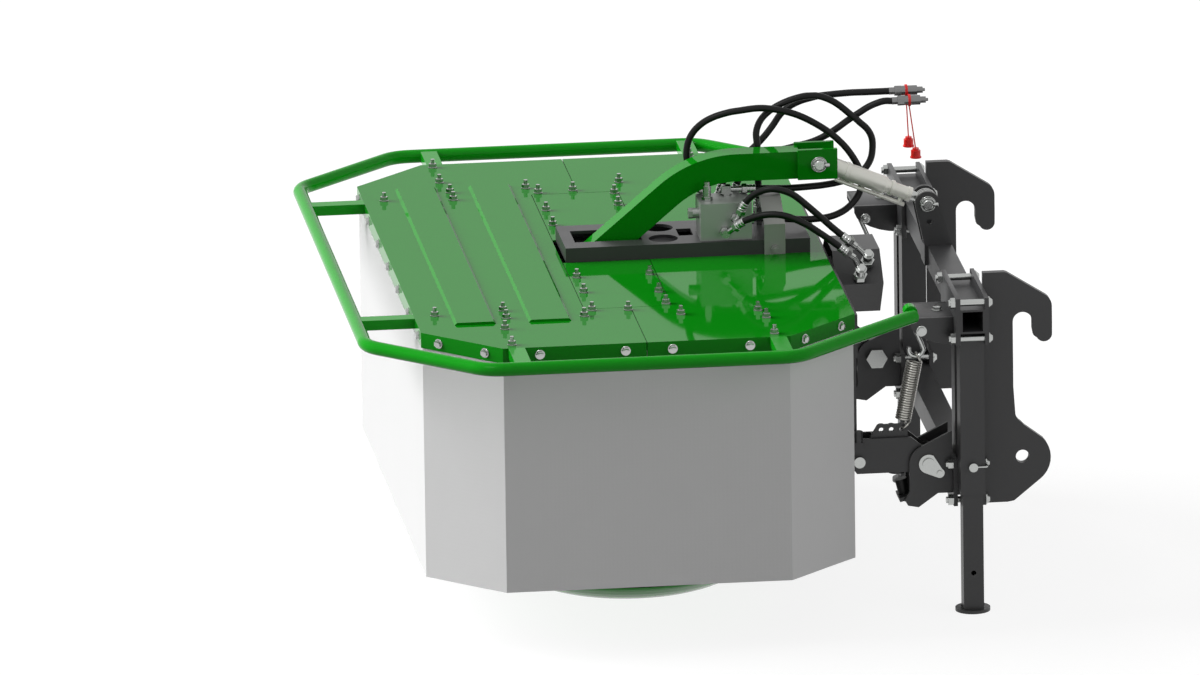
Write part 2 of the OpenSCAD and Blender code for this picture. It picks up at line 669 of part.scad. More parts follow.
// Frame under and behind the deck
eye_r = 28;
neck_y = 80;
neck_t = 10;
module mower_frame() color(black) at_head() {
    both() {
        x_channel(deck_front_x + 20, deck_rear_x - 20, -panel_y1 - 20, -panel_y1 + 20,
            frame_z1 - frame_h, frame_z1);
        for (x = [panel_x0, panel_x1])
            y_channel(x - 20, x + 20, -panel_y1 + 20, -beam_w / 2 - seam_gap,
                frame_z1 - frame_h, frame_z1);
        y_channel(drum_x - 20, drum_x + 20, -half_w + 12, -panel_y1 - 20,
            frame_z1 - frame_h, frame_z1);
        difference() {
            box(-430, plate_x0, -neck_y - neck_t, -neck_y, 700, deck_top);
            box(beam_x1, 0, -200, 0, frame_z1, deck_top + 1);
        }
        box(plate_x0, plate_x1, -arm_y - 25, -arm_y + 25, deck_pivot_z + eye_r / 2, 640);
    }
    for (x = [panel_x0, panel_x1, -450])
        y_channel(x - 20, x + 20, -panel_y1 - 20, panel_y1 + 20, housing_z1, frame_z1 - frame_h);
    difference() {
        box(plate_x0, plate_x1, -arm_y - 60, arm_y + 60, 640, flange_z - 3);
        x_rod(0, drive_z, 32, plate_x0 - 1, plate_x1 + 1);
    }
    both() difference() {
        union() {
            y_rod(-arm_x1, deck_pivot_z, eye_r, -arm_y - 25, -arm_y + 25);
            box(plate_x0, -arm_x1, -arm_y - 25, -arm_y + 25, deck_pivot_z - eye_r + 6,
                deck_pivot_z + eye_r - 6);
        }
        y_rod(-arm_x1, deck_pivot_z, deck_pivot_d / 2 + pin_gap, -arm_y - 40, -arm_y + 40);
    }
}

// Deck sheets
module deck_skin() difference() {
    z_plate(flange_z, deck_top) polygon(octagon(0));
    z_plate(flange_z - 1, deck_under) polygon(octagon(sheet));
}
front_mid = (deck_front_x + panel_x0) / 2 + 22.5;
front_ribs = [[deck_front_x + 89, front_mid - 40], [front_mid + 40, panel_x0 - 41]];
rib_y = 645;
rib_h = 6;
module deck_front() color(green) at_head() {
    difference() {
        deck_skin();
        box(drum_x - seam_gap / 2, 0, -deck_w, deck_w, flange_z - 2, deck_top + 2);
        box(panel_x0, 0, -panel_y1 - seam_gap, panel_y1 + seam_gap, flange_z - 2, deck_top + 2);
    }
    for (r = front_ribs) y_plate(-rib_y, rib_y) polygon([[r[0], deck_top],
        [r[1], deck_top], [r[1] - rib_h, deck_top + rib_h], [r[0] + rib_h, deck_top + rib_h]]);
}
module deck_rear() color(green) at_head() {
    difference() {
        deck_skin();
        box(-3000, drum_x + seam_gap / 2, -deck_w, deck_w, flange_z - 2, deck_top + 2);
        box(-3000, panel_x1, -panel_y1 - seam_gap, panel_y1 + seam_gap, flange_z - 2, deck_top + 2);
        box(beam_x0, beam_x1, -beam_w / 2, beam_w / 2, flange_z - 2, deck_top + 2);
        box(beam_x1, 0, -neck_y - neck_t - 5, neck_y + neck_t + 5, flange_z - 2, deck_under);
    }
}
module deck_panels() color(green) at_head() both()
    box(panel_x0 + seam_gap, panel_x1 - seam_gap, -panel_y1, -panel_y0, deck_under, deck_top);

// Central beam, a flat box with a mouth for the gooseneck and access holes
beam_wall = 8;
mouth = [-906, -739, 54];
module beam() color(black) at_head() difference() {
    box(beam_x0, beam_x1, -beam_w / 2, beam_w / 2, deck_top, beam_top);
    difference() {
        box(beam_x0 + beam_wall, beam_x1 - beam_wall, -beam_w / 2 + beam_wall,
            beam_w / 2 - beam_wall, deck_top + beam_wall, beam_top - beam_wall);
        box(block_x0, block_x1, -20, 20, deck_top, beam_top);
    }
    box(mouth[0], mouth[1], -mouth[2], mouth[2], deck_top + beam_wall, beam_top + 1);
    both() z_rod(-687, -51, 36, deck_top + beam_wall, beam_top + 1);
    box(-646, -610, -32, 32, deck_top + beam_wall, beam_top + 1);
}

// Closed gear housing with the spindle tubes and the drive shaft tube
spindle_r = 60;
module drive_housing() color(black) at_head() difference() {
    union() {
        y_plate(-drum_y - 100, drum_y + 100) polygon([[panel_x0 + 4, housing_z1],
            [panel_x0 + 4, housing_z0 + 20], [panel_x0 + 24, housing_z0],
            [panel_x1 - 17, housing_z0], [panel_x1 + 3, housing_z0 + 20],
            [panel_x1 + 3, housing_z1]]);
        x_rod(0, drive_z, 30, panel_x1 + 3, plate_x1);
        both() {
            z_rod(drum_x, -drum_y, 100, housing_z0 - 12, housing_z0 + 1);
            z_rod(drum_x, -drum_y, spindle_r, spindle_z0, housing_z0);
        }
    }
    both() z_rod(drum_x, -drum_y, shaft_r + pin_gap, spindle_z0 - 1, housing_z0 + 40);
}

// Gooseneck: bent box tube from the beam to the top link, with clevis plates
neck_w = 60;
neck_h = 69;
neck_top = 1027;
neck_bend = 300;
neck_slope = 40;
neck_wall = 6;
neck_cx = -500;
neck_end = -345;
function neck_edge(t, z, ext) = let (r = neck_bend - t, c = neck_top - neck_bend,
    x1 = neck_cx - r * sin(neck_slope), z1 = c + r * cos(neck_slope))
    concat([[neck_end + ext, neck_top - t]],
        arc(neck_cx, c, r, 90, 90 + neck_slope, 14),
        [[x1 - (z1 - z) / tan(neck_slope), z]]);
function backward(p) = [for (i = [len(p) - 1:-1:0]) p[i]];
module neck_shape(t, z, ext)
    polygon(concat(neck_edge(t, z, ext), backward(neck_edge(neck_h - t, z, ext))));
clevis_y = 30;
module gooseneck() color(green) at_head() difference() {
    union() {
        difference() {
            y_plate(-neck_w / 2, neck_w / 2) neck_shape(0, deck_top + beam_wall, 0);
            y_plate(-neck_w / 2 + neck_wall, neck_w / 2 - neck_wall)
                neck_shape(neck_wall, deck_top + beam_wall - 5, 5);
        }
        both() box(-350, -clevis_x + 46, -clevis_y - 12, -clevis_y,
            clevis_z - 38, clevis_z + 38);
        both() box(-350, -330, -clevis_y, -clevis_y + 6, clevis_z - 32, clevis_z + 26);
    }
    y_rod(-clevis_x, clevis_z, link_pin_d / 2, -100, 100);
}
module clevis_pin() color(zinc) at_head() {
    y_rod(-clevis_x, clevis_z, link_pin_d / 2, -clevis_y - 24, clevis_y + 22);
    difference() {
        y_rod(-clevis_x, clevis_z, 22, -clevis_y - 16, -clevis_y - 12);
        y_rod(-clevis_x, clevis_z, link_pin_d / 2, -100, 100);
    }
    y_rod(-clevis_x, clevis_z, 20, clevis_y + 12, clevis_y + 18);
    y_rod(-clevis_x + 22, clevis_z + 3, 3, -clevis_y - 20, -clevis_y - 12);
}

// Guard rail round the deck and the arms that hold it
rail_front = deck_front_x - rail_gap;
rail_side = half_w + rail_gap;
rail_cut = 268;
rail_slant = [-474, 323];
rail_points = [[rail_slant[0] + rail_slant[1], -rail_side + rail_slant[1]],
    [rail_slant[0], -rail_side], [rail_front + rail_cut, -rail_side],
    [rail_front, -rail_side + rail_cut], [rail_front, rail_side - rail_cut],
    [rail_front + rail_cut, rail_side], [rail_slant[0], rail_side],
    [rail_slant[0] + rail_slant[1], rail_side - rail_slant[1]]];
module guard_rail() color(green) at_head() translate([0, 0, rail_z])
    bent_tube(rail_points, rail_bend, rail_d / 2, rail_wall);
arm_size = [40, 25];
front_bolts = 7;
front_bolt_margin = 47;
front_bolt_gap = 2 * (half_w - deck_cut - front_bolt_margin) / (front_bolts - 1);
front_arm_y = 2.5 * front_bolt_gap + 4.5;
side_arm_xs = [rail_front + rail_cut + 86, -506];
arm_turn = 12;
module guard_arms() color(green) at_head() both() difference() {
    union() {
        difference() {
            box(rail_front, deck_front_x, -front_arm_y - 20, -front_arm_y + 20,
                deck_top - arm_size[1], deck_top);
            box(rail_front - 1, deck_front_x + 1, -front_arm_y - 17, -front_arm_y + 17,
                deck_top - arm_size[1] + 3, deck_top - 3);
        }
        for (x = side_arm_xs) difference() {
            box(x - 20, x + 20, -rail_side, -half_w, deck_top - arm_size[1], deck_top);
            box(x - 17, x + 17, -rail_side - 1, -half_w + 1,
                deck_top - arm_size[1] + 3, deck_top - 3);
        }
    }
    y_rod(rail_front, rail_z, rail_d / 2 + weld_gap, -deck_w, deck_w);
    x_rod(-rail_side, rail_z, rail_d / 2 + weld_gap, -2000, 0);
    translate([rail_slant[0] - rail_bend * (tan(22.5) - sin(arm_turn)),
        -rail_side + rail_bend * (1 - cos(arm_turn)), rail_z])
        rotate([0, 90, arm_turn]) translate([0, 0, -60])
            cylinder(r = rail_d / 2 + weld_gap + 0.3, h = 120);
}

// Curtain: hanging skirt inside the flange, open behind the drive
curtain_top = deck_under - 18;
module curtain() color(fabric) at_head() difference() {
    z_plate(curtain_z, curtain_top) polygon(octagon(sheet));
    z_plate(curtain_z - 1, curtain_top + 1) polygon(octagon(sheet + curtain_t));
    box(deck_rear_x - 40, deck_rear_x + 1, -neck_y - neck_t - 5, neck_y + neck_t + 5,
        620, curtain_top + 1);
}

// Fasteners of the deck
stud_places = [[deck_front_x + 51, 550], [front_mid - 10, 530], [front_mid - 10, 600],
    [front_mid - 25, 700], [side_x0 + 26, half_w - 30],
    [-925, 250], [-925, 392], [-925, 562], [-950, 612], [-837, 572], [-745, 250],
    [-743, 416], [-739, 528], [-715, 633], [-525, 628], [-513, 697], [-512, 848]];
module deck_stud(x, y) {
    z_rod(x, y, 11, deck_top, deck_top + 2);
    z_hex(x, y, 17, deck_top + 2, deck_top + 11);
    z_rod(x, y, 5, deck_top + 11, deck_top + 22);
}
module deck_studs() color(zinc) at_head() both()
    for (p = stud_places) deck_stud(p[0], -p[1]);

flange_bolt_z = deck_top - 19;
side_bolt_xs = [side_x0 + 91, -880, -765, -575];
module flange_bolt() {
    cylinder(r = 12, h = 2);
    translate([0, 0, 2]) cylinder(r1 = 9, r2 = 6, h = 5, $fn = 48);
}
module on_chamfer(cx, s, d) translate([cx, -half_w + deck_cut / 2, flange_bolt_z])
    rotate([0, 0, s * 45]) translate([d, 0, 0]) rotate([90, 0, 0]) children();
module flange_bolts() color(zinc) at_head() {
    for (i = [0:front_bolts - 1])
        translate([deck_front_x, (i - (front_bolts - 1) / 2) * front_bolt_gap, flange_bolt_z])
            rotate([0, -90, 0]) flange_bolt();
    both() {
        for (x = side_bolt_xs)
            translate([x, -half_w, flange_bolt_z]) rotate([90, 0, 0]) flange_bolt();
        for (d = [-72, 72]) {
            on_chamfer(deck_front_x + deck_cut / 2, -1, d) flange_bolt();
            on_chamfer(deck_rear_x - deck_cut / 2, 1, d) flange_bolt();
        }
    }
}

// Hydraulic valve block on the beam
port_z = 880;
module valve_block() color(steel) at_head() {
    difference() {
        box(block_x0, block_x1, block_y0, block_y1, beam_top, block_top);
        for (x = [block_x0 + 14, block_x1 - 14]) z_rod(x, block_y1 - 14, 5, block_top - 12, block_top + 1);
    }
    x_rod(-55, beam_top + 62, 13, block_x0 - 16, block_x0);
    x_hex(-55, beam_top + 62, 24, block_x0 - 26, block_x0 - 16);
}
module valve_cartridge() color(zinc) at_head() {
    z_hex(-578, -58, 24, block_top, block_top + 10);
    z_rod(-578, -58, 10, block_top + 10, block_top + 38);
    z_rod(-578, -58, 7, block_top + 38, block_top + 48);
}

// Hose routes, chosen by hand; each starts and ends straight at its fitting
route_motor_1 = [[-505, -120, 900], [-496, -126, 923], [-480, -132, 943], [-460, -138, 957],
    [-436, -144, 965], [-411, -148, 964], [-387, -151, 956], [-365, -152, 942], [-322, -152, 903],
    [-280, -152, 863], [-250, -150, 836], [-232, -147, 820]];
route_motor_2 = [[-520, -132, 868], [-508, -142, 880], [-488, -152, 893], [-446, -164, 906],
    [-400, -170, 903], [-352, -174, 882], [-312, -175, 855], [-278, -174, 829],
    [-252, -171, 808], [-240, -169, 798]];
route_loop_left = [[-580, 32, 900], [-580, 32, 906], [-583, 34, 924], [-590, 39, 947], [-601, 46, 967],
    [-611, 53, 988], [-614, 56, 1012], [-609, 56, 1042], [-595, 54, 1068], [-573, 51, 1089],
    [-547, 48, 1103], [-518, 46, 1112], [-488, 45, 1117], [-421, 45, 1121], [-344, 45, 1102],
    [-275, 45, 1063], [-225, 45, 1018], [-192, 45, 967], [-182, 44, 928], [-190, 40, 894],
    [-218, 28, 864], [-258, 8, 850], [-306, -8, 848], [-355, -18, 852], [-400, -24, 858],
    [-437, -25, 860]];
route_loop_right = [[-438, 48, 860], [-438, 48, 880], [-438, 48, 930], [-438, 48, 980],
    [-439, 51, 1024], [-440, 58, 1060], [-424, 64, 1092], [-389, 68, 1118], [-341, 70, 1136],
    [-293, 71, 1141], [-246, 71, 1123], [-199, 71, 1084], [-181, 72, 1067], [-163, 74, 1049],
    [-152, 76, 1027], [-150, 76, 1002], [-155, 74, 974], [-170, 69, 951], [-193, 63, 936],
    [-219, 55, 927], [-245, 47, 923], [-273, 40, 921], [-300, 32, 921], [-370, 8, 925],
    [-440, -5, 931], [-487, -10, 933]];
route_supply_1 = [[-540, 32, 900], [-540, 32, 906], [-532, 36, 929], [-517, 45, 953], [-498, 56, 972],
    [-476, 67, 989], [-454, 79, 1005], [-431, 90, 1022], [-410, 100, 1041], [-391, 109, 1062],
    [-374, 112, 1085], [-352, 115, 1103], [-326, 118, 1115], [-298, 120, 1122], [-270, 120, 1127],
    [-205, 120, 1131], [-160, 120, 1131], [-125, 120, 1131], [-103, 120, 1131]];
route_supply_2 = [[-500, 32, 900], [-500, 32, 906], [-495, 36, 926], [-484, 44, 950], [-468, 54, 968],
    [-448, 66, 981], [-425, 77, 990], [-400, 85, 998], [-366, 91, 1003], [-332, 92, 1010],
    [-298, 92, 1018], [-267, 92, 1031], [-238, 92, 1048], [-211, 92, 1067], [-183, 92, 1085],
    [-154, 92, 1102], [-122, 92, 1113], [-99, 92, 1113]];
function last(route) = route[len(route) - 1];
function next_last(route) = route[len(route) - 2];
hose_sides = 10;
module hydraulic_hoses() color(rubber) at_head()
    for (route = [route_motor_1, route_motor_2, route_loop_left, route_loop_right])
        sweep(route, hose_d / 2, hose_sides);
module supply_hoses() color(rubber) at_head()
    for (route = [route_supply_1, route_supply_2]) sweep(route, hose_d / 2, hose_sides);

// Straight ferrule from a hose end back towards its port
module ferrule(from, to, r) {
    d = to - from;
    translate(from) rotate([0, acos(d[2] / norm(d)), atan2(d[1], d[0])])
        cylinder(r = r, h = norm(d));
}
ferrule_r = 8;
function heel(p, q, back) = p - back * unit(q - p);
module hose_end(p, q, back, r) ferrule(heel(p, q, back), p, r);
module hose_fittings() color(zinc) at_head() {
    for (route = [route_loop_left, route_supply_1, route_supply_2]) {
        x = route[0][0];
        y_hex(x, port_z, 24, block_y1, block_y1 + 12);
        box(x - 11, x + 11, block_y1 + 12, block_y1 + 34, port_z - 11, port_z + 11);
        z_rod(x, block_y1 + 23, ferrule_r, port_z + 8, route[0][2]);
    }
    for (p = [[-513, 884, route_motor_1, 18], [-540, 850, route_motor_2, 30]]) {
        y_hex(p[0], p[1], 24, block_y0 - 12, block_y0);
        y_rod(p[0], p[1], ferrule_r + 2, block_y0 - 32, block_y0 - 12);
        hose_end(p[2][0], p[2][1], p[3], ferrule_r - 1);
    }
    x_hex(-25, 860, 24, block_x1, block_x1 + 12);
    hose_end(last(route_loop_left), next_last(route_loop_left), 24, ferrule_r);
    z_hex(-525, -10, 24, block_top, block_top + 4);
    box(-536, -514, -21, 1, block_top + 4, 944);
    hose_end(last(route_loop_right), next_last(route_loop_right), 32, ferrule_r - 1);
    z_hex(-438, 48, 24, beam_top, beam_top + 12);
    z_rod(-438, 48, ferrule_r, beam_top + 12, 860);
    for (p = [[port_1, route_motor_1], [port_2, route_motor_2]]) {
        knee = heel(last(p[1]), next_last(p[1]), 14);
        ferrule(p[0] - 14 * port_dir, p[0] + 11 * port_dir, 12);
        ferrule(p[0], knee, ferrule_r - 1);
        hose_end(last(p[1]), next_last(p[1]), 14, ferrule_r);
    }
}

// Hose saddle: a hoop over the beam that the hoses pass through
saddle_x = [-444, -392];
saddle_y = beam_w / 2;
saddle_t = 5;
module saddle_line(t) polygon([[-saddle_y - saddle_t + t, deck_top],
    [-saddle_y - saddle_t + t, deck_top + 76 - t * 0.4], [-24, 916 - t], [24, 916 - t],
    [saddle_y + saddle_t - t, deck_top + 76 - t * 0.4], [saddle_y + saddle_t - t, deck_top]]);
module hose_saddle() color(steel) at_head() {
    difference() {
        x_plate(saddle_x[0], saddle_x[1]) saddle_line(0);
        translate([0, 0, -0.01]) x_plate(saddle_x[0] - 1, saddle_x[1] + 1) saddle_line(saddle_t);
        z_rod(-438, 48, hose_d / 2 + 3, 860, 960);
    }
    both() {
        translate([(saddle_x[0] + saddle_x[1]) / 2, -saddle_y - saddle_t, deck_top + 14])
            rotate([90, 0, 0]) {
                hex(17, 8);
                cylinder(r = 5, h = 14);
            }
    }
}

// Hydraulic motor behind the deck, under a folded sheet guard
guard_x = [plate_x1, -154];
guard_z = [626, 715, 782];
guard_half = [74, 147, 71];
guard_t = 3;
port_dir = unit([0, guard_half[2] - guard_half[1], guard_z[2] - guard_z[1]][1] < 0 ?
    [0, -(guard_z[2] - guard_z[1]), guard_half[1] - guard_half[2]] : [0, -1, 0]);
function on_guard(x, s) = [x, -guard_half[1] + s * (guard_half[1] - guard_half[2]),
    guard_z[1] + s * (guard_z[2] - guard_z[1])];
seat_1 = on_guard(-190, 0.55);
seat_2 = on_guard(-212, 0.14);
port_1 = seat_1 + 34 * port_dir;
port_2 = seat_2 + 34 * port_dir;
module motor() color(steel) at_head() {
    difference() {
        union() {
            box(plate_x1, plate_x1 + 14, -55, 55, drive_z - 55, drive_z + 55);
            x_rod(0, drive_z, 46, plate_x1 + 14, -176);
            box(-232, -172, -96, 0, drive_z - 24, drive_z + 50);
        }
        x_rod(0, drive_z, 10, -177, -170);
    }
    for (seat = [seat_1, seat_2]) difference() {
        ferrule(seat - 34 * port_dir, seat + 20 * port_dir, 11);
        box(-232, -172, -96, 0, drive_z - 24, drive_z + 50);
    }
}
module guard_line(t) polygon([
    [-guard_half[0] + t * 0.6, guard_z[0] - 1 + sign(t) * -1],
    [-guard_half[0] + t * 0.6, guard_z[0]], [-guard_half[1] + t, guard_z[1]],
    [-guard_half[2] + t * 0.6, guard_z[2] - t], [guard_half[2] - t * 0.6, guard_z[2] - t],
    [guard_half[1] - t, guard_z[1]], [guard_half[0] - t * 0.6, guard_z[0]],
    [guard_half[0] - t * 0.6, guard_z[0] - 1 + sign(t) * -1]]);
module motor_guard() color(black) at_head() difference() {
    x_plate(guard_x[0], guard_x[1]) guard_line(0);
    x_plate(guard_x[0] - 1, guard_x[1] - guard_t) guard_line(guard_t);
    for (seat = [seat_1, seat_2]) ferrule(seat - 20 * port_dir, seat + 20 * port_dir, 13);
}

// Quick couplers and their dust caps
module coupler(p) translate(p) rotate([0, 90, 0]) {
    cylinder(r = ferrule_r + 1, h = 14);
    translate([0, 0, 14]) hex(coupler_d - 2, 16);
    translate([0, 0, 30]) cylinder(r = coupler_d / 2, h = 40);
    translate([0, 0, 70]) cylinder(r = coupler_d / 2 - 4, h = 14);
    translate([0, 0, 84]) cylinder(r = 4, h = 6);
}
coupler_places = [last(route_supply_1), last(route_supply_2)];
module couplers() color(steel) at_head() for (p = coupler_places) coupler(p);

cap_places = [[-55, 120, 1001], [-41, 92, 979]];
module dust_caps() color(red) at_head() for (i = [0, 1]) {
    p = coupler_places[i];
    c = cap_places[i];
    ring_x = p[0] + 43;
    difference() {
        x_rod(p[1], p[2], coupler_d / 2 + 3, ring_x - 3, ring_x + 3);
        x_rod(p[1], p[2], coupler_d / 2 + pin_gap, ring_x - 4, ring_x + 4);
    }
    low = [ring_x, p[1], p[2] - coupler_d / 2 - 2];
    ferrule(low, c + [0, 0, 10], 1.6);
    z_rod(c[0], c[1], 12, c[2] - 10, c[2] + 6);
    z_rod(c[0], c[1], 8, c[2] + 6, c[2] + 12);
    z_rod(c[0], c[1], 14, c[2] - 13, c[2] - 10);
}

// Cutting drums: rotor shell and disc on one shaft, skid disc below, free blades
hub_r = 62;
module at_drum(s) translate([drum_x, s * drum_y, 0]) children();
disc_z0 = blade_z + flat_gap;
stub_len = 60;
module drum(s) color(green) at_head() at_drum(s) {
    rotate_extrude() polygon([[0, disc_z0 - stub_len], [20, disc_z0 - stub_len], [20, disc_z0],
        [disc_r, disc_z0],
        [disc_r, disc_z0 + 6], [drum_r + 18, disc_z0 + 8], [drum_r + 4, disc_z0 + 26],
        [drum_r, disc_z0 + 60], [drum_r, 600], [110, 600], [110, 596], [drum_r - 4, 596],
        [drum_r - 4, disc_z0 + 60], [drum_r - 1, disc_z0 + 24], [drum_r + 10, disc_z0 + 10],
        [hub_r, disc_z0 + 10], [hub_r, spindle_z0 - 3], [shaft_r, spindle_z0 - 3],
        [shaft_r, housing_z0 + 30], [0, housing_z0 + 30]]);
    for (i = [0:blades_per_drum - 1]) rotate([0, 0, 360 * i / blades_per_drum])
        translate([blade_pin_r, 0, 0]) {
            z_rod(0, 0, 8, blade_z - blade_t - flat_gap, disc_z0 + 1);
            z_rod(0, 0, 13, blade_z - blade_t - flat_gap - 3, blade_z - blade_t - flat_gap);
        }
}
module drum_left() drum(-1);
module drum_right() drum(1);

module skid_disc(s) color(green) at_head() at_drum(s) rotate_extrude() polygon(concat(
    [[0, skid_z], [skid_r - 130, skid_z]],
    arc(skid_r - 130, skid_z + 170, 170, 280, 318, 6),
    [[skid_r - 2, skid_z + 50], [skid_r, skid_z + 52], [skid_r - 1, skid_z + 56],
     [skid_r - 5, skid_z + 56]],
    backward(arc(skid_r - 130, skid_z + 170, 165, 280, 316, 6)),
    [[skid_r - 130, skid_z + 5], [45, skid_z + 5], [45, disc_z0 - flat_gap],
     [20 + pin_gap, disc_z0 - flat_gap], [20 + pin_gap, disc_z0 - stub_len - flat_gap],
     [0, disc_z0 - stub_len - flat_gap]]));
module skid_disc_left() skid_disc(-1);
module skid_disc_right() skid_disc(1);

blade_w = 46;
blade_len = blade_tip_r - blade_pin_r;
blade_hole_r = 8.08;
module blade(s, i) color(zinc) at_head() at_drum(s)
    rotate([0, 0, 360 * (i - 1) / blades_per_drum]) translate([blade_pin_r, 0, 0])
        difference() {
            z_plate(blade_z - blade_t, blade_z) polygon(concat(
                arc(0, 0, blade_w / 2, 100, 260, 10),
                [[blade_len - 14, -blade_w / 2], [blade_len, -blade_w / 2 + 12],
                 [blade_len, blade_w / 2 - 12], [blade_len - 14, blade_w / 2]]));
            z_rod(0, 0, blade_hole_r, blade_z - 20, blade_z + 20);
        }
module blade_left_1() blade(-1, 1);
module blade_left_2() blade(-1, 2);
module blade_left_3() blade(-1, 3);
module blade_right_1() blade(1, 1);
module blade_right_2() blade(1, 2);
module blade_right_3() blade(1, 3);

upper_crossbar();
lower_crossbar();
uprights();
hook_plate_left();
hook_plate_right();
stand_sleeves();
stand_legs();
leg_pin_left();
leg_pin_right();
mast();
mast_pin();
upper_bracket_left();
upper_bracket_right();
lower_bracket_left();
lower_bracket_right();
clamp_plates();
clamp_bolts();
pivot_pins();
buffers();
s_hooks();
spring_left();
spring_right();
lower_arm_left();
lower_arm_right();
arm_bolts();
top_link_barrel();
top_link_ends();
mower_frame();
deck_front();
deck_rear();
deck_panels();
beam();
drive_housing();
gooseneck();
clevis_pin();
guard_rail();
guard_arms();
curtain();
deck_studs();
flange_bolts();
valve_block();
valve_cartridge();
hose_fittings();
hose_saddle();
motor();
motor_guard();
hydraulic_hoses();
supply_hoses();
couplers();
dust_caps();
drum_left();
drum_right();
skid_disc_left();
skid_disc_right();
blade_left_1();
blade_left_2();
blade_left_3();
blade_right_1();
blade_right_2();
blade_right_3();
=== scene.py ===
"""Front drum mower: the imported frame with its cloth, hoses, springs and finishes."""

import bmesh
import bpy
import numpy as np
from bpy.props import FloatProperty, FloatVectorProperty, IntProperty, PointerProperty
from mathutils import Matrix, Vector


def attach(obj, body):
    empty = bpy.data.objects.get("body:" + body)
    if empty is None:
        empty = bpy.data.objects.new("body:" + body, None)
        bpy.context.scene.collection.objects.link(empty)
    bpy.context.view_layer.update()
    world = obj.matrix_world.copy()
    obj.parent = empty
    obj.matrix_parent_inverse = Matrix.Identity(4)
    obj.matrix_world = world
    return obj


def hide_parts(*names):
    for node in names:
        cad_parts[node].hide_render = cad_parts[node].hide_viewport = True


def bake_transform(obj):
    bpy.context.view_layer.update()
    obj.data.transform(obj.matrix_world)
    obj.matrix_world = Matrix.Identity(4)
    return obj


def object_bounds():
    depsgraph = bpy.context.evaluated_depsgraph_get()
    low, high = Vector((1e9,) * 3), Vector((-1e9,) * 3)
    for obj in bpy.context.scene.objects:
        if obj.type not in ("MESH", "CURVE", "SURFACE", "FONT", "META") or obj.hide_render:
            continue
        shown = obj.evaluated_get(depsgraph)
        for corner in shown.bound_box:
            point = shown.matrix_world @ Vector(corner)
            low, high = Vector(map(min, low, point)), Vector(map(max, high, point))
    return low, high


bl_info = {
    "name": "Front Drum Mower",
    "version": (1, 0, 0),
    "blender": (4, 5, 0),
    "location": "View3D > Sidebar > Mower",
    "description": "Cloth, hoses, springs and finishes on a front drum mower's frame",
    "category": "Add Mesh",
}

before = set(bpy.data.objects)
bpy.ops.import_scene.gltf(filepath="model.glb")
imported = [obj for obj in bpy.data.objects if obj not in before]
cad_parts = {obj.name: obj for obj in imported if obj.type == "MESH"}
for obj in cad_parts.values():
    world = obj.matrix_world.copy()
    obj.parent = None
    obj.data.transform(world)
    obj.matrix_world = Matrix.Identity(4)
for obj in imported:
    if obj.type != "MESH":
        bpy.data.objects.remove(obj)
CAD_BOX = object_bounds()

# Place of the headstock's centre plane in the frame, as in the part's source
HEAD_X = 0.653925
MM = 0.001


def at_head(points):
    """Points in mm from the headstock's centre plane, as metres in the frame."""
    return np.asarray(points, float) * MM + np.array([HEAD_X, 0.0, 0.0])


# Hose routes in mm: the points of the part's source, without the straight lead that
# its fittings need, because a smooth curve through it would bend too tightly
ROUTES = {
    "motor_hose_upper": [
        (-505, -120, 900), (-496, -126, 923), (-480, -132, 943), (-460, -138, 957),
        (-436, -144, 965), (-411, -148, 964), (-387, -151, 956), (-365, -152, 942),
        (-322, -152, 903), (-280, -152, 863), (-250, -150, 836), (-232, -147, 820)],
    "motor_hose_lower": [
        (-520, -132, 868), (-508, -142, 880), (-488, -152, 893), (-446, -164, 906),
        (-400, -170, 903), (-352, -174, 882), (-312, -175, 855), (-278, -174, 829),
        (-252, -171, 808), (-240, -169, 798)],
    "return_hose": [
        (-580, 32, 900), (-583, 34, 924), (-590, 39, 947), (-601, 46, 967),
        (-611, 53, 988), (-614, 56, 1012), (-609, 56, 1042), (-595, 54, 1068),
        (-573, 51, 1089), (-547, 48, 1103), (-518, 46, 1112), (-488, 45, 1117),
        (-421, 45, 1121), (-344, 45, 1102), (-275, 45, 1063), (-225, 45, 1018),
        (-192, 45, 967), (-182, 44, 928), (-190, 40, 894), (-218, 28, 864),
        (-258, 8, 850), (-306, -8, 848), (-355, -18, 852), (-400, -24, 858),
        (-437, -25, 860)],
    "drain_hose": [
        (-438, 48, 860), (-438, 48, 880), (-438, 48, 930), (-438, 48, 980),
        (-439, 51, 1024), (-440, 58, 1060), (-424, 64, 1092), (-389, 68, 1118),
        (-341, 70, 1136), (-293, 71, 1141), (-246, 71, 1123), (-199, 71, 1084),
        (-181, 72, 1067), (-163, 74, 1049), (-152, 76, 1027), (-150, 76, 1002),
        (-155, 74, 974), (-170, 69, 951), (-193, 63, 936), (-219, 55, 927),
        (-245, 47, 923), (-273, 40, 921), (-300, 32, 921), (-370, 8, 925),
        (-440, -5, 931), (-487, -10, 933)],
    "supply_hose_upper": [
        (-540, 32, 900), (-532, 36, 929), (-517, 45, 953), (-498, 56, 972),
        (-476, 67, 989), (-454, 79, 1005), (-431, 90, 1022), (-410, 100, 1041),
        (-391, 109, 1062), (-374, 112, 1085), (-352, 115, 1103), (-326, 118, 1115),
        (-298, 120, 1122), (-270, 120, 1127), (-205, 120, 1131), (-160, 120, 1131),
        (-125, 120, 1131), (-103, 120, 1131)],
    "supply_hose_lower": [
        (-500, 32, 900), (-495, 36, 926), (-484, 44, 950), (-468, 54, 968),
        (-448, 66, 981), (-425, 77, 990), (-400, 85, 998), (-366, 91, 1003),
        (-332, 92, 1010), (-298, 92, 1018), (-267, 92, 1031), (-238, 92, 1048),
        (-211, 92, 1067), (-183, 92, 1085), (-154, 92, 1102), (-122, 92, 1113),
        (-99, 92, 1113)],
}
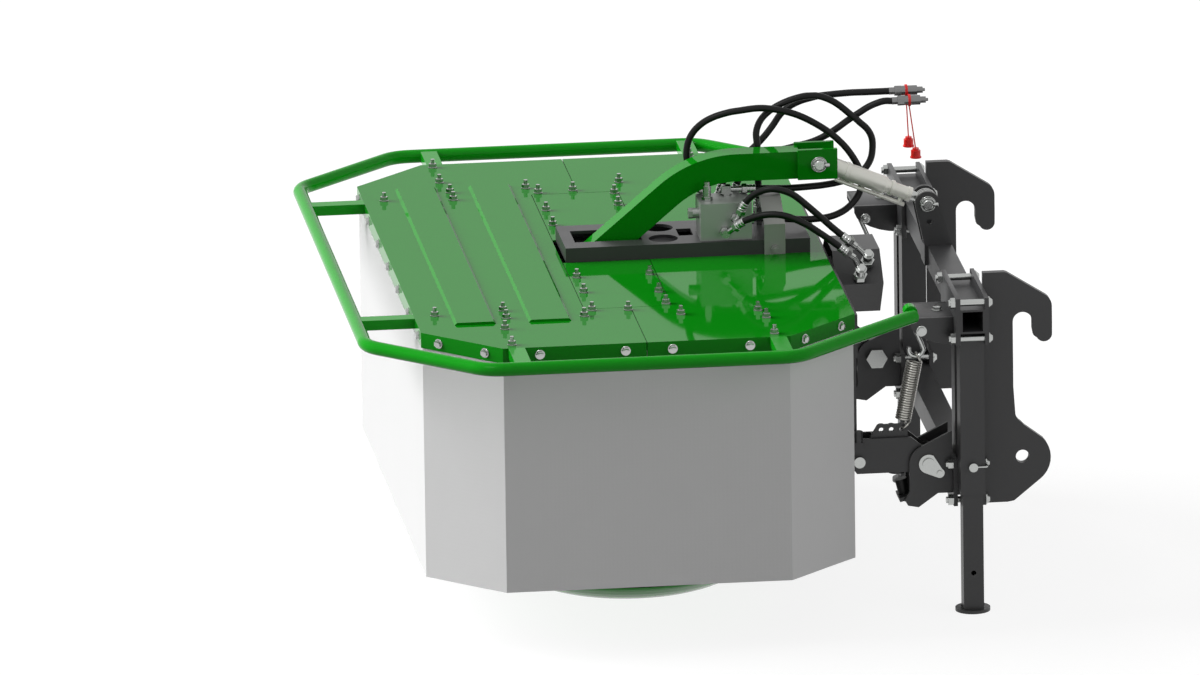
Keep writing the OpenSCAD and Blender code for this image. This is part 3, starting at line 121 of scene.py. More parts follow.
HELD_HOSES = ("motor_hose_upper", "motor_hose_lower", "return_hose", "drain_hose")
FREE_HOSES = ("supply_hose_upper", "supply_hose_lower")


# Sizes and colours that a user may change


class MowerSizes(bpy.types.PropertyGroup):
    """Sizes of the pieces that this file adds to the frame."""

    hose_diameter: FloatProperty(
        name="Hose diameter", description="Outer diameter of the hydraulic hoses",
        default=0.017, min=0.01, max=0.018, unit="LENGTH")
    hose_sides: IntProperty(
        name="Hose sides", description="Faces round a hose", default=24, min=8, max=48)
    crimp_length: FloatProperty(
        name="Crimp length", description="Length of the pressed sleeve on a hose end",
        default=0.034, min=0.01, max=0.05, unit="LENGTH")
    curtain_thickness: FloatProperty(
        name="Curtain thickness", description="Thickness of the coated cloth",
        default=0.003, min=0.001, max=0.005, unit="LENGTH")
    curtain_wave: FloatProperty(
        name="Curtain wave", description="Depth of the slow waves in the cloth",
        default=0.0012, min=0.0, max=0.004, unit="LENGTH")
    spring_wire: FloatProperty(
        name="Spring wire", description="Diameter of the lift springs' wire",
        default=0.0052, min=0.004, max=0.006, unit="LENGTH")


class MowerColours(bpy.types.PropertyGroup):
    """Colours of the finishes."""

    enamel: FloatVectorProperty(
        name="Enamel", description="Colour of the deck's enamel", subtype="COLOR",
        size=3, default=(0.003, 0.225, 0.005), min=0, max=1)
    powder: FloatVectorProperty(
        name="Powder coat", description="Colour of the dark steel parts",
        subtype="COLOR", size=3, default=(0.030, 0.030, 0.031), min=0, max=1)
    zinc: FloatVectorProperty(
        name="Zinc", description="Colour of the plated fasteners", subtype="COLOR",
        size=3, default=(0.42, 0.43, 0.42), min=0, max=1)
    cloth: FloatVectorProperty(
        name="Cloth", description="Colour of the coated curtain", subtype="COLOR",
        size=3, default=(0.61, 0.61, 0.61), min=0, max=1)
    rubber: FloatVectorProperty(
        name="Rubber", description="Colour of hoses and buffers", subtype="COLOR",
        size=3, default=(0.006, 0.006, 0.006), min=0, max=1)
    cap: FloatVectorProperty(
        name="Cap", description="Colour of the dust caps", subtype="COLOR",
        size=3, default=(0.72, 0.012, 0.012), min=0, max=1)


def sizes():
    """The sizes set on the scene."""
    return bpy.context.scene.mower_sizes


def colours():
    """The colours set on the scene."""
    return bpy.context.scene.mower_colours


# Surfaces

# Edges sharper than this many degrees are shaded as edges
SHARP_FROM = 32.0
# Radius, in metres, and steps of the rounding on a plate's edges
PLATE_EDGE = 0.0008
PLATE_EDGE_STEPS = 2


def unit_rows(v):
    """Each row of v divided by its length."""
    return v / np.linalg.norm(v, axis=-1, keepdims=True)


def path_run(path):
    """Arc length at each point of a path."""
    steps = np.linalg.norm(np.diff(path, axis=0), axis=1)
    return np.concatenate([[0], np.cumsum(steps)])


def sampled(values, run, at):
    """Rows of values, known at arc lengths run, read off at the arc lengths at."""
    return np.stack([np.interp(at, run, values[:, k]) for k in range(3)], axis=1)


def smooth_path(points, count):
    """Points on a Catmull-Rom curve: between knots p1 and p2 it is the cubic that
    passes both with slopes (p2 - p0) / 2 and (p3 - p1) / 2, sampled count times a
    run, and then resampled to even steps of arc length."""
    p = np.asarray(points, float)
    p = np.vstack([2 * p[0] - p[1], p, 2 * p[-1] - p[-2]])
    t = np.linspace(0, 1, count, endpoint=False)[:, None, None]
    p0, p1, p2, p3 = p[:-3], p[1:-2], p[2:-1], p[3:]
    curve = 0.5 * (2 * p1 + (p2 - p0) * t + (2 * p0 - 5 * p1 + 4 * p2 - p3) * t ** 2
                   + (3 * p1 - p0 - 3 * p2 + p3) * t ** 3)
    curve = np.vstack([curve.transpose(1, 0, 2).reshape(-1, 3), p[-2]])
    run = path_run(curve)
    return sampled(curve, run, np.linspace(0, run[-1], len(curve)))


def path_frames(path):
    """Tangent, normal and binormal on a path: the first normal is square to the
    tangent, and each next one is the last with its part along the tangent removed."""
    tangent = unit_rows(np.gradient(path, axis=0))
    last = np.eye(3)[np.argmin(np.abs(tangent[0]))]
    normals = np.empty_like(path)
    for i, t in enumerate(tangent):
        last = last - t * np.dot(last, t)
        last /= np.linalg.norm(last)
        normals[i] = last
    return tangent, normals, np.cross(tangent, normals)


def surface(name, points, closed_ends=False, keep=None):
    """A mesh from a grid of points, rows by columns: each cell is one quad, the last
    column meets the first again, and a flat face closes each end row where
    closed_ends is true. keep masks the cells."""
    rows, cols = points.shape[:2]
    r, c = np.meshgrid(np.arange(rows - 1), np.arange(cols), indexing="ij")
    if keep is not None:
        r, c = r[keep], c[keep]
    r, c = r.ravel(), c.ravel()
    r2, c2 = r + 1, (c + 1) % cols
    faces = np.stack([r * cols + c, r * cols + c2, r2 * cols + c2, r2 * cols + c],
                     axis=1).tolist()
    if closed_ends:
        faces.append(np.arange(cols)[::-1].tolist())
        faces.append(((rows - 1) * cols + np.arange(cols)).tolist())
    mesh = bpy.data.meshes.new(name)
    mesh.from_pydata(points.reshape(-1, 3), [], faces)
    mesh.polygons.foreach_set("use_smooth", np.ones(len(faces), bool))
    mesh.set_sharp_from_angle(angle=np.radians(SHARP_FROM))
    mesh.validate()
    mesh.update()
    piece = bpy.data.objects.new(name, mesh)
    bpy.context.scene.collection.objects.link(piece)
    return piece


def carried(name, path, profile, sides, at=None):
    """A round body along a path: ring i is the circle of radius profile[i] in the
    plane of the path's normal and binormal, at each point of the path or at the
    arc lengths in at, and flat faces close both ends."""
    _, normal, binormal = path_frames(path)
    if at is not None:
        run = path_run(path)
        path, normal, binormal = (sampled(v, run, at) for v in (path, normal, binormal))
    a = np.linspace(0, 2 * np.pi, sides, endpoint=False)[:, None]
    ring = np.cos(a) * normal[:, None] + np.sin(a) * binormal[:, None]
    points = path[:, None] + np.asarray(profile)[:, None, None] * ring
    return surface(name, points, closed_ends=True)


def turned(name, foot, axis, profile, sides=32):
    """A body turned round an axis: each row of profile is a height along the axis
    from foot and the radius there, in mm, and ring i has so many sides."""
    heights, radii = np.asarray(profile, float).T * MM
    along = unit_rows(np.asarray(axis, float))
    path = at_head(foot) + np.outer([0, heights[-1]], along)
    return carried(name, path, radii, sides, heights)


def bolt_head(name, foot, axis, across):
    """A washer and on it a chamfered hexagon, both sized by its width across flats:
    r is the radius of the hexagon's corners, and the head is 0.66 r high."""
    r = across / np.sqrt(3)
    washer = [(0, 1.22 * r), (1.5, 1.22 * r), (2, 1.16 * r)]
    high = 0.66 * r
    head = [(1.5, r), (high + 1, r), (high + 2, 0.84 * r), (high + 1.6, 0.3 * r)]
    return [turned(name + "_washer", foot, axis, washer),
            turned(name + "_head", foot, axis, head, sides=6)]


def joined(name, pieces):
    """One piece made of all the given ones, which are then taken away."""
    gathered = bmesh.new()
    for piece in pieces:
        mesh = piece.data
        gathered.from_mesh(mesh)
        bpy.data.objects.remove(piece)
        bpy.data.meshes.remove(mesh)
    mesh = bpy.data.meshes.new(name)
    gathered.to_mesh(mesh)
    gathered.free()
    mesh.set_sharp_from_angle(angle=np.radians(SHARP_FROM))
    whole = bpy.data.objects.new(name, mesh)
    bpy.context.scene.collection.objects.link(whole)
    return whole


def bake(piece):
    """Replaces a piece's mesh by what its modifiers make of it."""
    bpy.context.view_layer.update()
    made = bpy.data.meshes.new_from_object(
        piece.evaluated_get(bpy.context.evaluated_depsgraph_get()))
    piece.modifiers.clear()
    piece.data = made
    made.set_sharp_from_angle(angle=np.radians(SHARP_FROM))


def plate(name, outline, y_from, y_to):
    """A flat plate: its outline in the XZ plane, clockwise and in mm, carried from
    the lower to the higher of two Y values, with its edges rounded a little."""
    points = np.empty((2, len(outline), 3))
    points[:, :, [0, 2]] = outline
    points[:, :, 1] = np.sort([y_from, y_to])[:, None]
    piece = surface(name, at_head(points), closed_ends=True)
    edge = piece.modifiers.new("edge", "BEVEL")
    edge.width = PLATE_EDGE
    edge.segments = PLATE_EDGE_STEPS
    bake(piece)
    return piece


def dress(piece, body, material):
    """Gives a new piece its finish, its body, unless it bends between two bodies,
   ."""
    piece.data.materials.clear()
    piece.data.materials.append(material)
    if body:
        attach(piece, body)
    return piece


# Finishes

# The slow noise that stains a finish, the fine one that dents it, how deep a dent is
# in metres, and the least roughness
CLOUD_SCALE = 9.0
CLOUD_DETAIL = 5.0
GRAIN_DETAIL = 3.0
DENT_DEPTH = 0.0006
SMOOTHEST = 0.02


def finish(name, colour, roughness=0.4, metallic=0.0, spread=0.06, tone=0.05,
           grain=400.0, bump=0.04, specular=0.5):
    """A surface of one colour: noise on object coordinates moves its roughness by
    spread and its tone by the share tone, and a finer noise is its bump."""
    material = bpy.data.materials.get(name)
    if material:
        return material
    material = bpy.data.materials.new(name)
    material.use_nodes = True
    nodes, links = material.node_tree.nodes, material.node_tree.links
    shader = nodes["Principled BSDF"]
    shader.inputs["Metallic"].default_value = metallic
    shader.inputs["Specular IOR Level"].default_value = specular
    place = nodes.new("ShaderNodeTexCoord")
    clouds = nodes.new("ShaderNodeTexNoise")
    clouds.inputs["Scale"].default_value = CLOUD_SCALE
    clouds.inputs["Detail"].default_value = CLOUD_DETAIL
    links.new(place.outputs["Object"], clouds.inputs["Vector"])
    rough = nodes.new("ShaderNodeMapRange")
    rough.inputs["To Min"].default_value = max(SMOOTHEST, roughness - spread)
    rough.inputs["To Max"].default_value = roughness + spread
    links.new(clouds.outputs["Fac"], rough.inputs["Value"])
    links.new(rough.outputs["Result"], shader.inputs["Roughness"])
    tint = nodes.new("ShaderNodeMix")
    tint.data_type = "RGBA"
    tint.inputs["A"].default_value = (*[c * (1 - tone) for c in colour], 1)
    tint.inputs["B"].default_value = (*[min(1, c * (1 + tone)) for c in colour], 1)
    links.new(clouds.outputs["Fac"], tint.inputs["Factor"])
    links.new(tint.outputs["Result"], shader.inputs["Base Color"])
    fine = nodes.new("ShaderNodeTexNoise")
    fine.inputs["Scale"].default_value = grain
    fine.inputs["Detail"].default_value = GRAIN_DETAIL
    links.new(place.outputs["Object"], fine.inputs["Vector"])
    dents = nodes.new("ShaderNodeBump")
    dents.inputs["Strength"].default_value = bump
    dents.inputs["Distance"].default_value = DENT_DEPTH
    links.new(fine.outputs["Fac"], dents.inputs["Height"])
    links.new(dents.outputs["Normal"], shader.inputs["Normal"])
    return material


# Radians that the wave texture turns in a metre at a scale of 1, and the depth in
# metres of the threads that it raises
WAVE_RATE = 20
WEAVE_DEPTH = 0.0003


def woven(name, colour, roughness, thread, depth):
    """Coated cloth: two crossed waves on the piece's own UV map, in metres, raise
    the coat over its grid of threads, a radian of each wave being as long as thread,
    and slow noise stains the coat a little."""
    material = finish(name, colour, roughness, spread=0.05, tone=0.02, grain=60,
                      bump=0.05)
    nodes, links = material.node_tree.nodes, material.node_tree.links
    place = next(n for n in nodes if n.bl_idname == "ShaderNodeTexCoord")
    dents = next(n for n in nodes if n.bl_idname == "ShaderNodeBump")
    shader = nodes["Principled BSDF"]
    waves = []
    for direction in ("X", "Y"):
        wave = nodes.new("ShaderNodeTexWave")
        wave.bands_direction = direction
        wave.inputs["Scale"].default_value = 1 / thread / WAVE_RATE
        links.new(place.outputs["UV"], wave.inputs["Vector"])
        waves.append(wave)
    crossed = nodes.new("ShaderNodeMath")
    crossed.operation = "MULTIPLY"
    for wave, side in zip(waves, crossed.inputs):
        links.new(wave.outputs["Fac"], side)
    weave = nodes.new("ShaderNodeBump")
    weave.inputs["Strength"].default_value = depth
    weave.inputs["Distance"].default_value = WEAVE_DEPTH
    links.new(crossed.outputs["Value"], weave.inputs["Height"])
    links.new(dents.outputs["Normal"], weave.inputs["Normal"])
    links.new(weave.outputs["Normal"], shader.inputs["Normal"])
    return material


def coated_cloth():
    """The pale coated cloth of the curtain."""
    return woven("coated_cloth", colours().cloth, 0.55, 0.0016, 0.25)


def enamel():
    """The deck's bright, even enamel."""
    return finish("green_enamel", colours().enamel, 0.05, spread=0.015, tone=0.03,
                  grain=40, bump=0.004, specular=0.05)


def tube_green_painted_light():
    """The rail's enamel: the deck's green made lighter as painted light, for the sky light
    that the round tubes catch, and less smooth than the deck's.
    """
    colour = [1.35 * c for c in colours().enamel]
    return finish("tube_material_painted_light", colour, 0.12, spread=0.03, grain=120,
                  bump=0.01, specular=0.09)


def disc_green_painted_reflection():
    """The skid discs' enamel: the deck's green made lighter as a painted reflection of the
    pale floor on their rims, and duller than the deck's.
    """
    colour = [2 * c + 0.03 for c in colours().enamel]
    return finish("disc_material_painted_reflection", colour, 0.16, spread=0.04, tone=0.06, grain=120,
                  bump=0.02, specular=0.35)


def powder():
    """The black, finely grained powder coat."""
    return finish("black_powder_coat", colours().powder, 0.42, spread=0.06, tone=0.12,
                  grain=900, bump=0.10, specular=0.45)


def plated():
    """The zinc plating of pins, bolts and fittings."""
    return finish("zinc_plating", colours().zinc, 0.22, metallic=1.0, spread=0.08,
                  tone=0.08, grain=500, bump=0.05)


def machined():
    """The bare machined steel of the blades."""
    return finish("machined_steel", (0.44, 0.43, 0.41), 0.34, metallic=0.85,
                  spread=0.08, tone=0.06, grain=260, bump=0.05)


def saddle_steel():
    """The dull grey steel of the hose saddle."""
    return finish("saddle_steel", (0.30, 0.30, 0.29), 0.48, metallic=0.4,
                  spread=0.08, tone=0.08, grain=300, bump=0.08)


def coupler_steel():
    """The darker steel of the quick couplers."""
    return finish("coupler_steel", (0.20, 0.20, 0.20), 0.24, metallic=0.9,
                  spread=0.06, tone=0.08, grain=400, bump=0.05)


def cast():
    """The grey cast metal of valve block and motor."""
    return finish("cast_block", (0.33, 0.35, 0.33), 0.40, metallic=0.6, spread=0.08,
                  tone=0.08, grain=300, bump=0.10)


def light_paint():
    """The pale paint of the top link."""
    return finish("light_link_paint", (0.80, 0.79, 0.73), 0.30, metallic=0.25,
                  spread=0.06, tone=0.04, grain=400, bump=0.06)


def rubber():
    """The black rubber of hoses and buffers."""
    return finish("hose_rubber", colours().rubber, 0.36, spread=0.05, tone=0.2,
                  grain=700, bump=0.06, specular=0.2)


def moulded():
    """The red moulded plastic of the dust caps."""
    return finish("red_moulding", colours().cap, 0.36, spread=0.05, tone=0.05,
                  grain=300, bump=0.04)


def spring_wire():
    """The bright drawn wire of the lift springs."""
    return finish("spring_wire", (0.44, 0.43, 0.40), 0.30, metallic=0.9, spread=0.08,
                  tone=0.08, grain=600, bump=0.06)


# The nodes of the frame that take each finish
FINISHES = {
    enamel: ("deck_front", "deck_rear", "deck_panels", "gooseneck", "drum_left",
             "drum_right"),
    # The skid discs' green is lightened as a painted reflection of the floor
    disc_green_painted_reflection: ("skid_disc_left", "skid_disc_right"),
    # The rail's green is lightened as painted light from the sky on its round tubes
    tube_green_painted_light: ("guard_rail", "guard_arms"),
    powder: ("upper_crossbar", "lower_crossbar", "uprights", "hook_plate_left",
             "hook_plate_right", "stand_sleeves", "stand_legs", "mast",
             "upper_bracket_left", "upper_bracket_right", "lower_bracket_left",
             "lower_bracket_right", "clamp_plates", "lower_arm_left", "lower_arm_right",
             "mower_frame", "beam", "drive_housing", "motor_guard"),
    plated: ("leg_pin_left", "leg_pin_right", "mast_pin", "clamp_bolts", "pivot_pins",
             "s_hooks", "arm_bolts", "clevis_pin", "deck_studs", "flange_bolts",
             "hose_fittings", "valve_cartridge", "top_link_ends"),
    saddle_steel: ("hose_saddle",),
    coupler_steel: ("couplers",),
    machined: ("blade_left_1", "blade_left_2", "blade_left_3",
               "blade_right_1", "blade_right_2", "blade_right_3"),
    cast: ("valve_block", "motor"),
    light_paint: ("top_link_barrel",),
    rubber: ("buffers", "hydraulic_hoses", "supply_hoses"),
    moulded: ("dust_caps",),
}


# Strength of the world's light, tone of the floor where light falls on it, and its
# glow where it is seen
SKY_LEVEL = 0.30
FLOOR_TONE = 0.20
FLOOR_GLOW = 0.86
# Radius of the floor and its small distance under the feet, in metres
FLOOR_RADIUS = 60
FLOOR_DROP = 0.0005
FLOOR_RINGS = 12
FLOOR_SIDES = 64
# Lamps: name, the direction they shine from, strength, breadth in degrees, glints
LAMPS = (("key_lamp", (-0.86, 0.24, 0.45), 4.5, 50, False),
         ("near_fill", (0.8, -0.62, 0.1), 1.15, 60, False),
         ("glint_lamp", (-0.35, -0.45, 0.82), 0.7, 22, True))
# Turn, tilt and roll of the photograph's view in degrees, its distance in metres, and
# its long lens and film in mm
VIEW_TURN = -6.64
VIEW_TILT = 15.24
VIEW_ROLL = 0.768
VIEW_DISTANCE = 74.07
LENS = 900
FILM_WIDTH = 36
# Pixels of the photograph: its size, and where the headstock's foot falls
PHOTO_SIZE = (1200, 675)
ORIGIN_PIXEL = (941.0, 544.4)


class MOWER_OT_stage(bpy.types.Operator):
    """Adds the floor, the studio light and the camera of the photograph."""

    bl_idname = "mower.stage"
    bl_label = "Stage"

    def execute(self, context):
        scene = context.scene
        scene.view_settings.view_transform = "Standard"
        add_world(scene)
        add_floor()
        for lamp in LAMPS:
            add_lamp(scene, *lamp)
        add_camera(scene)
        return {"FINISHED"}


def seen_white(nodes, links):
    """1 where a ray comes from the camera, a gloss or a glass, and else 0."""
    rays = nodes.new("ShaderNodeLightPath")
    seen = rays.outputs["Is Camera Ray"]
    for kind in ("Is Glossy Ray", "Is Transmission Ray"):
        either = nodes.new("ShaderNodeMath")
        either.operation = "MAXIMUM"
        links.new(seen, either.inputs[0])
        links.new(rays.outputs[kind], either.inputs[1])
        seen = either.outputs["Value"]
    return seen


def add_world(scene):
    """White where it is seen, and a plain grey light where it lights."""
    world = bpy.data.worlds.new("studio")
    scene.world = world
    world.use_nodes = True
    nodes, links = world.node_tree.nodes, world.node_tree.links
    light = nodes["Background"]
    light.inputs["Color"].default_value = (1, 1, 1, 1)
    light.inputs["Strength"].default_value = SKY_LEVEL
    seen = nodes.new("ShaderNodeBackground")
    seen.inputs["Color"].default_value = (1, 1, 1, 1)
    seen.inputs["Strength"].default_value = 1.0
    mix = nodes.new("ShaderNodeMixShader")
    links.new(seen_white(nodes, links), mix.inputs["Fac"])
    links.new(light.outputs["Background"], mix.inputs[1])
    links.new(seen.outputs["Background"], mix.inputs[2])
    links.new(mix.outputs["Shader"], nodes["World Output"].inputs["Surface"])


def add_floor():
    """A pale floor: a disc of rings whose radii grow by squares. It glows where it
    is seen, and only its paint takes light, so that a shadow still falls on it."""
    r = FLOOR_RADIUS * np.linspace(0.001, 1, FLOOR_RINGS) ** 2
    a = np.linspace(0, 2 * np.pi, FLOOR_SIDES, endpoint=False)
    points = np.full((FLOOR_RINGS, FLOOR_SIDES, 3), -FLOOR_DROP)
    points[:, :, 0] = np.outer(r, np.cos(a))
    points[:, :, 1] = np.outer(r, np.sin(a))
    floor = surface("floor", points)
    material = bpy.data.materials.new("pale_floor")
    material.use_nodes = True
    nodes, links = material.node_tree.nodes, material.node_tree.links
    nodes.remove(nodes["Principled BSDF"])
    paint = nodes.new("ShaderNodeBsdfDiffuse")
    paint.inputs["Color"].default_value = (FLOOR_TONE, FLOOR_TONE, FLOOR_TONE, 1)
    glow = nodes.new("ShaderNodeEmission")
    glow.inputs["Strength"].default_value = FLOOR_GLOW
    off = nodes.new("ShaderNodeEmission")
    off.inputs["Strength"].default_value = 0.0
    seen = nodes.new("ShaderNodeMixShader")
    links.new(seen_white(nodes, links), seen.inputs["Fac"])
    links.new(off.outputs["Emission"], seen.inputs[1])
    links.new(glow.outputs["Emission"], seen.inputs[2])
    both = nodes.new("ShaderNodeAddShader")
    links.new(paint.outputs["BSDF"], both.inputs[0])
    links.new(seen.outputs["Shader"], both.inputs[1])
    links.new(both.outputs["Shader"], nodes["Material Output"].inputs["Surface"])
    floor.data.materials.append(material)


def add_lamp(scene, name, toward, strength, breadth, glints):
    """A broad sun that shines from the direction toward. It lights the colours and
    leaves no image of itself on the enamel, or, where it glints, is seen only as a
    small bright spot on metal and gloss."""
    lamp = bpy.data.lights.new(name, "SUN")
    lamp.energy = strength
    lamp.angle = np.radians(breadth)
    holder = bpy.data.objects.new(name, lamp)
    holder.rotation_euler = Vector(toward).to_track_quat("Z", "Y").to_euler()
    holder.visible_glossy = glints
    holder.visible_diffuse = not glints
    scene.collection.objects.link(holder)


def add_camera(scene):
    """A long lens: the axes are the turn, tilt and roll of the photograph, and the
    headstock's foot falls on its pixel at the view's distance."""
    turn, tilt, roll = np.radians([VIEW_TURN, VIEW_TILT, VIEW_ROLL])
    level, rise = np.cos(tilt), np.sin(tilt)
    right = np.array([np.cos(turn), np.sin(turn), 0])
    up = np.array([-np.sin(turn) * rise, np.cos(turn) * rise, level])
    back = np.array([np.sin(turn) * level, -np.cos(turn) * level, rise])
    x_axis = right * np.cos(roll) - up * np.sin(roll)
    y_axis = up * np.cos(roll) + right * np.sin(roll)
    width, height = PHOTO_SIZE
    per_pixel = VIEW_DISTANCE / (LENS / FILM_WIDTH * width)
    dx = (ORIGIN_PIXEL[0] - width / 2) * per_pixel
    dy = (ORIGIN_PIXEL[1] - height / 2) * per_pixel
    place = at_head([0, 0, 0]) - dx * x_axis + dy * y_axis + VIEW_DISTANCE * back
    camera = bpy.data.cameras.new("camera")
    camera.lens = LENS
    camera.sensor_width = FILM_WIDTH
    camera.clip_start = 1
    camera.clip_end = 400
    holder = bpy.data.objects.new("camera", camera)
    axes = Matrix((x_axis, y_axis, back)).transposed().to_4x4()
    holder.matrix_world = Matrix.Translation(Vector(place)) @ axes
    scene.collection.objects.link(holder)
    scene.camera = holder


class MOWER_OT_finishes(bpy.types.Operator):
    """Gives the frame's own nodes their finishes."""

    bl_idname = "mower.finishes"
    bl_label = "Finishes"

    def execute(self, context):
        for make, names in FINISHES.items():
            for name in names:
                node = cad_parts[name]
                node.data.materials.clear()
                node.data.materials.append(make())
        return {"FINISHED"}


# Points on a hose's curve between two points of its route
HOSE_STEPS = 8
# Profile of a pressed sleeve: place along its length, and height above the hose in mm
CRIMP_PLACE = np.array([0, 0, 1, 8, 9, 11, 12, 17, 18, 20, 21, 26, 27, 29, 30, 33, 34,
                        34]) / 34
CRIMP_RISE = np.array([-1, 1.8, 2.3, 2.3, 1.4, 1.4, 2.3, 2.3, 1.4, 1.4, 2.3, 2.3, 1.4,
                       1.4, 2.3, 2.3, 1.6, -1])
# A union nut on a hose end: place along the hose and radius, in mm
UNION_NUT = np.array([(0, 12), (1, 13.5), (12, 13.5), (13, 12)])


class MOWER_OT_hoses(bpy.types.Operator):
    """Adds the hoses between valve block and motor with their sleeves and nuts."""

    bl_idname = "mower.hoses"
    bl_label = "Hoses"

    def execute(self, context):
        for name in HELD_HOSES:
            path = hose_path(name)
            hose = hose_tube(name, path)
            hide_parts("hydraulic_hoses")
            add_crimps(name, path)
        return {"FINISHED"}


class MOWER_OT_supply_hoses(bpy.types.Operator):
    """Adds the two free hoses that lead to the quick couplers."""

    bl_idname = "mower.supply_hoses"
    bl_label = "Supply hoses"

    def execute(self, context):
        for name in FREE_HOSES:
            path = hose_path(name)
            hose = hose_tube(name, path)
            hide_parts("supply_hoses")
            crimps = add_crimps(name, path, ends=(0,))
        return {"FINISHED"}


def hose_path(name):
    """A hose's smooth path in the frame, its crown kept under the frame's top."""
    path = at_head(smooth_path(ROUTES[name], HOSE_STEPS))
    top = CAD_BOX[1][2] - sizes().hose_diameter / 2
    path[:, 2] = np.minimum(path[:, 2], top)
    return path


def hose_tube(name, path):
    """A hose: the circle of the hose's radius carried along its smooth path."""
    radius = sizes().hose_diameter / 2
    hose = carried(name, path, np.full(len(path), radius), sizes().hose_sides)
    return dress(hose, "mower", rubber())


def add_crimps(name, path, ends=(0, 1)):
    """A pressed sleeve and a union nut on each end: the sleeve's grooved profile and
    the nut's, on six sides, are carried along the hose."""
    length = float(path_run(path)[-1])
    sleeve = (CRIMP_PLACE * sizes().crimp_length,
              CRIMP_RISE * MM + sizes().hose_diameter / 2)
    forms = (("sleeve", *sleeve, sizes().hose_sides), ("nut", *UNION_NUT.T * MM, 6))
    made = []
    for end in ends:
        parts = []
        for form, at, radius, sides in forms:
            if end:
                at, radius = length - at[::-1], radius[::-1]
            parts.append(carried(form, path, radius, sides, at))
        both = joined(f"{name}_crimp_{end + 1}", parts)
        made.append(dress(both, "mower", plated()))
    return made


# The deck's outline and the curtain in it, as in the part's source, in mm
DECK_X0, DECK_X1, DECK_HALF, DECK_CUT = -1361.0, -296.0, 878.0, 180.0
CURTAIN_INSET = 4.0
CURTAIN_Z0, CURTAIN_Z1 = 173.0, 769.0
NOTCH_HALF, NOTCH_Z = 95.0, 620.0
# The curtain's grid: least width of a column in mm, rows up to the notch's lower edge
# and from there to the top
CURTAIN_COLUMN = 25
ROWS_BELOW, ROWS_BESIDE = 24, 9
# The cloth's slow waves: lengths in mm of arc for one radian of each, and how far the
# second one shifts the first
WAVE_ARC, SHIFT_ARC, SHIFT = 61, 173, 0.7


class MOWER_OT_curtain(bpy.types.Operator):
    """Adds the coated cloth curtain that hangs inside the deck's flange."""

    bl_idname = "mower.curtain"
    bl_label = "Curtain"

    def execute(self, context):
        line, arc, notch = curtain_line()
        heights = np.concatenate([np.linspace(CURTAIN_Z0, NOTCH_Z, ROWS_BELOW),
                                  np.linspace(NOTCH_Z, CURTAIN_Z1, ROWS_BESIDE)[1:]])
        keep = np.ones((len(heights) - 1, len(line)), bool)
        keep[ROWS_BELOW - 1:, -notch:] = False
        skirt = surface("curtain_cloth", at_head(curtain_grid(line, arc, heights)),
                        keep=keep)
        lay_flat(skirt, keep, arc, heights)
        wall = skirt.modifiers.new("thickness", "SOLIDIFY")
        wall.thickness = sizes().curtain_thickness
        wall.offset = -1
        bake(skirt)
        dress(skirt, "mower", coated_cloth())
        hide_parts("curtain")
        return {"FINISHED"}


def curtain_line():
    """The curtain's foot line round the deck, its arc length at each point and once
    round, and the number of columns over the notch, which come last: the deck's
    octagon set in by the inset, cut into even steps from corner to corner."""
    cut = DECK_CUT - (2 - np.sqrt(2)) * CURTAIN_INSET
    x0, x1 = DECK_X0 + CURTAIN_INSET, DECK_X1 - CURTAIN_INSET
    h = DECK_HALF - CURTAIN_INSET
    bends = np.array([
        [x1, NOTCH_HALF], [x1, h - cut], [x1 - cut, h], [x0 + cut, h], [x0, h - cut],
        [x0, -h + cut], [x0 + cut, -h], [x1 - cut, -h], [x1, -h + cut],
        [x1, -NOTCH_HALF], [x1, NOTCH_HALF]])
    lengths = np.linalg.norm(np.diff(bends, axis=0), axis=1)
    steps = np.maximum(2, lengths // CURTAIN_COLUMN).astype(int)
    line = np.vstack([a + (b - a) * np.linspace(0, 1, n, endpoint=False)[:, None]
                      for a, b, n in zip(bends[:-1], bends[1:], steps)])
    return line, path_run(np.vstack([line, line[:1]])), steps[-1]


def curtain_grid(line, arc, heights):
    """Points of the hanging cloth: the line at each height, moved towards the deck's
    middle by a sine of the arc length that grows with the square of the drop."""
    middle = np.array([(DECK_X0 + DECK_X1) / 2, 0])
    inward = unit_rows(middle - line)
    drop = (CURTAIN_Z1 - heights) / (CURTAIN_Z1 - CURTAIN_Z0)
    run = arc[:-1]
    wave = 0.5 + 0.5 * np.sin(run / WAVE_ARC + SHIFT * np.sin(run / SHIFT_ARC))
    depth = sizes().curtain_wave / MM * np.outer(drop ** 2, wave)
    points = np.empty((len(heights), len(line), 3))
    points[:, :, :2] = line[None] + depth[:, :, None] * inward[None]
    points[:, :, 2] = heights[:, None]
    return points


def lay_flat(skirt, keep, arc, heights):
    """A UV map of the cloth laid flat, in metres: arc length and height."""
    cells = np.argwhere(keep)
    rows = cells[:, :1] + np.array([0, 0, 1, 1])
    columns = cells[:, 1:] + np.array([0, 1, 1, 0])
    uv = np.stack([arc[columns], heights[rows]], axis=2) * MM
    layer = skirt.data.uv_layers.new(name="cloth")
    layer.data.foreach_set("uv", uv.reshape(-1))


# A lift spring, as in the part's source, in mm
SPRING_FOOT = np.array([-162.0, 447.9])
SPRING_HEAD = np.array([-124.0, 636.4])
SPRING_Y = 522.0
SPRING_MEAN = 17.5
SPRING_TURNS = 24
LOOP_RADIUS = 14.0
# The angles, in degrees, that an end loop runs between, and the points that it, a turn
# and the round of the wire have
LOOP_ARC = (285, 20)
LOOP_STEPS = 24
TURN_STEPS = 20
WIRE_SIDES = 14


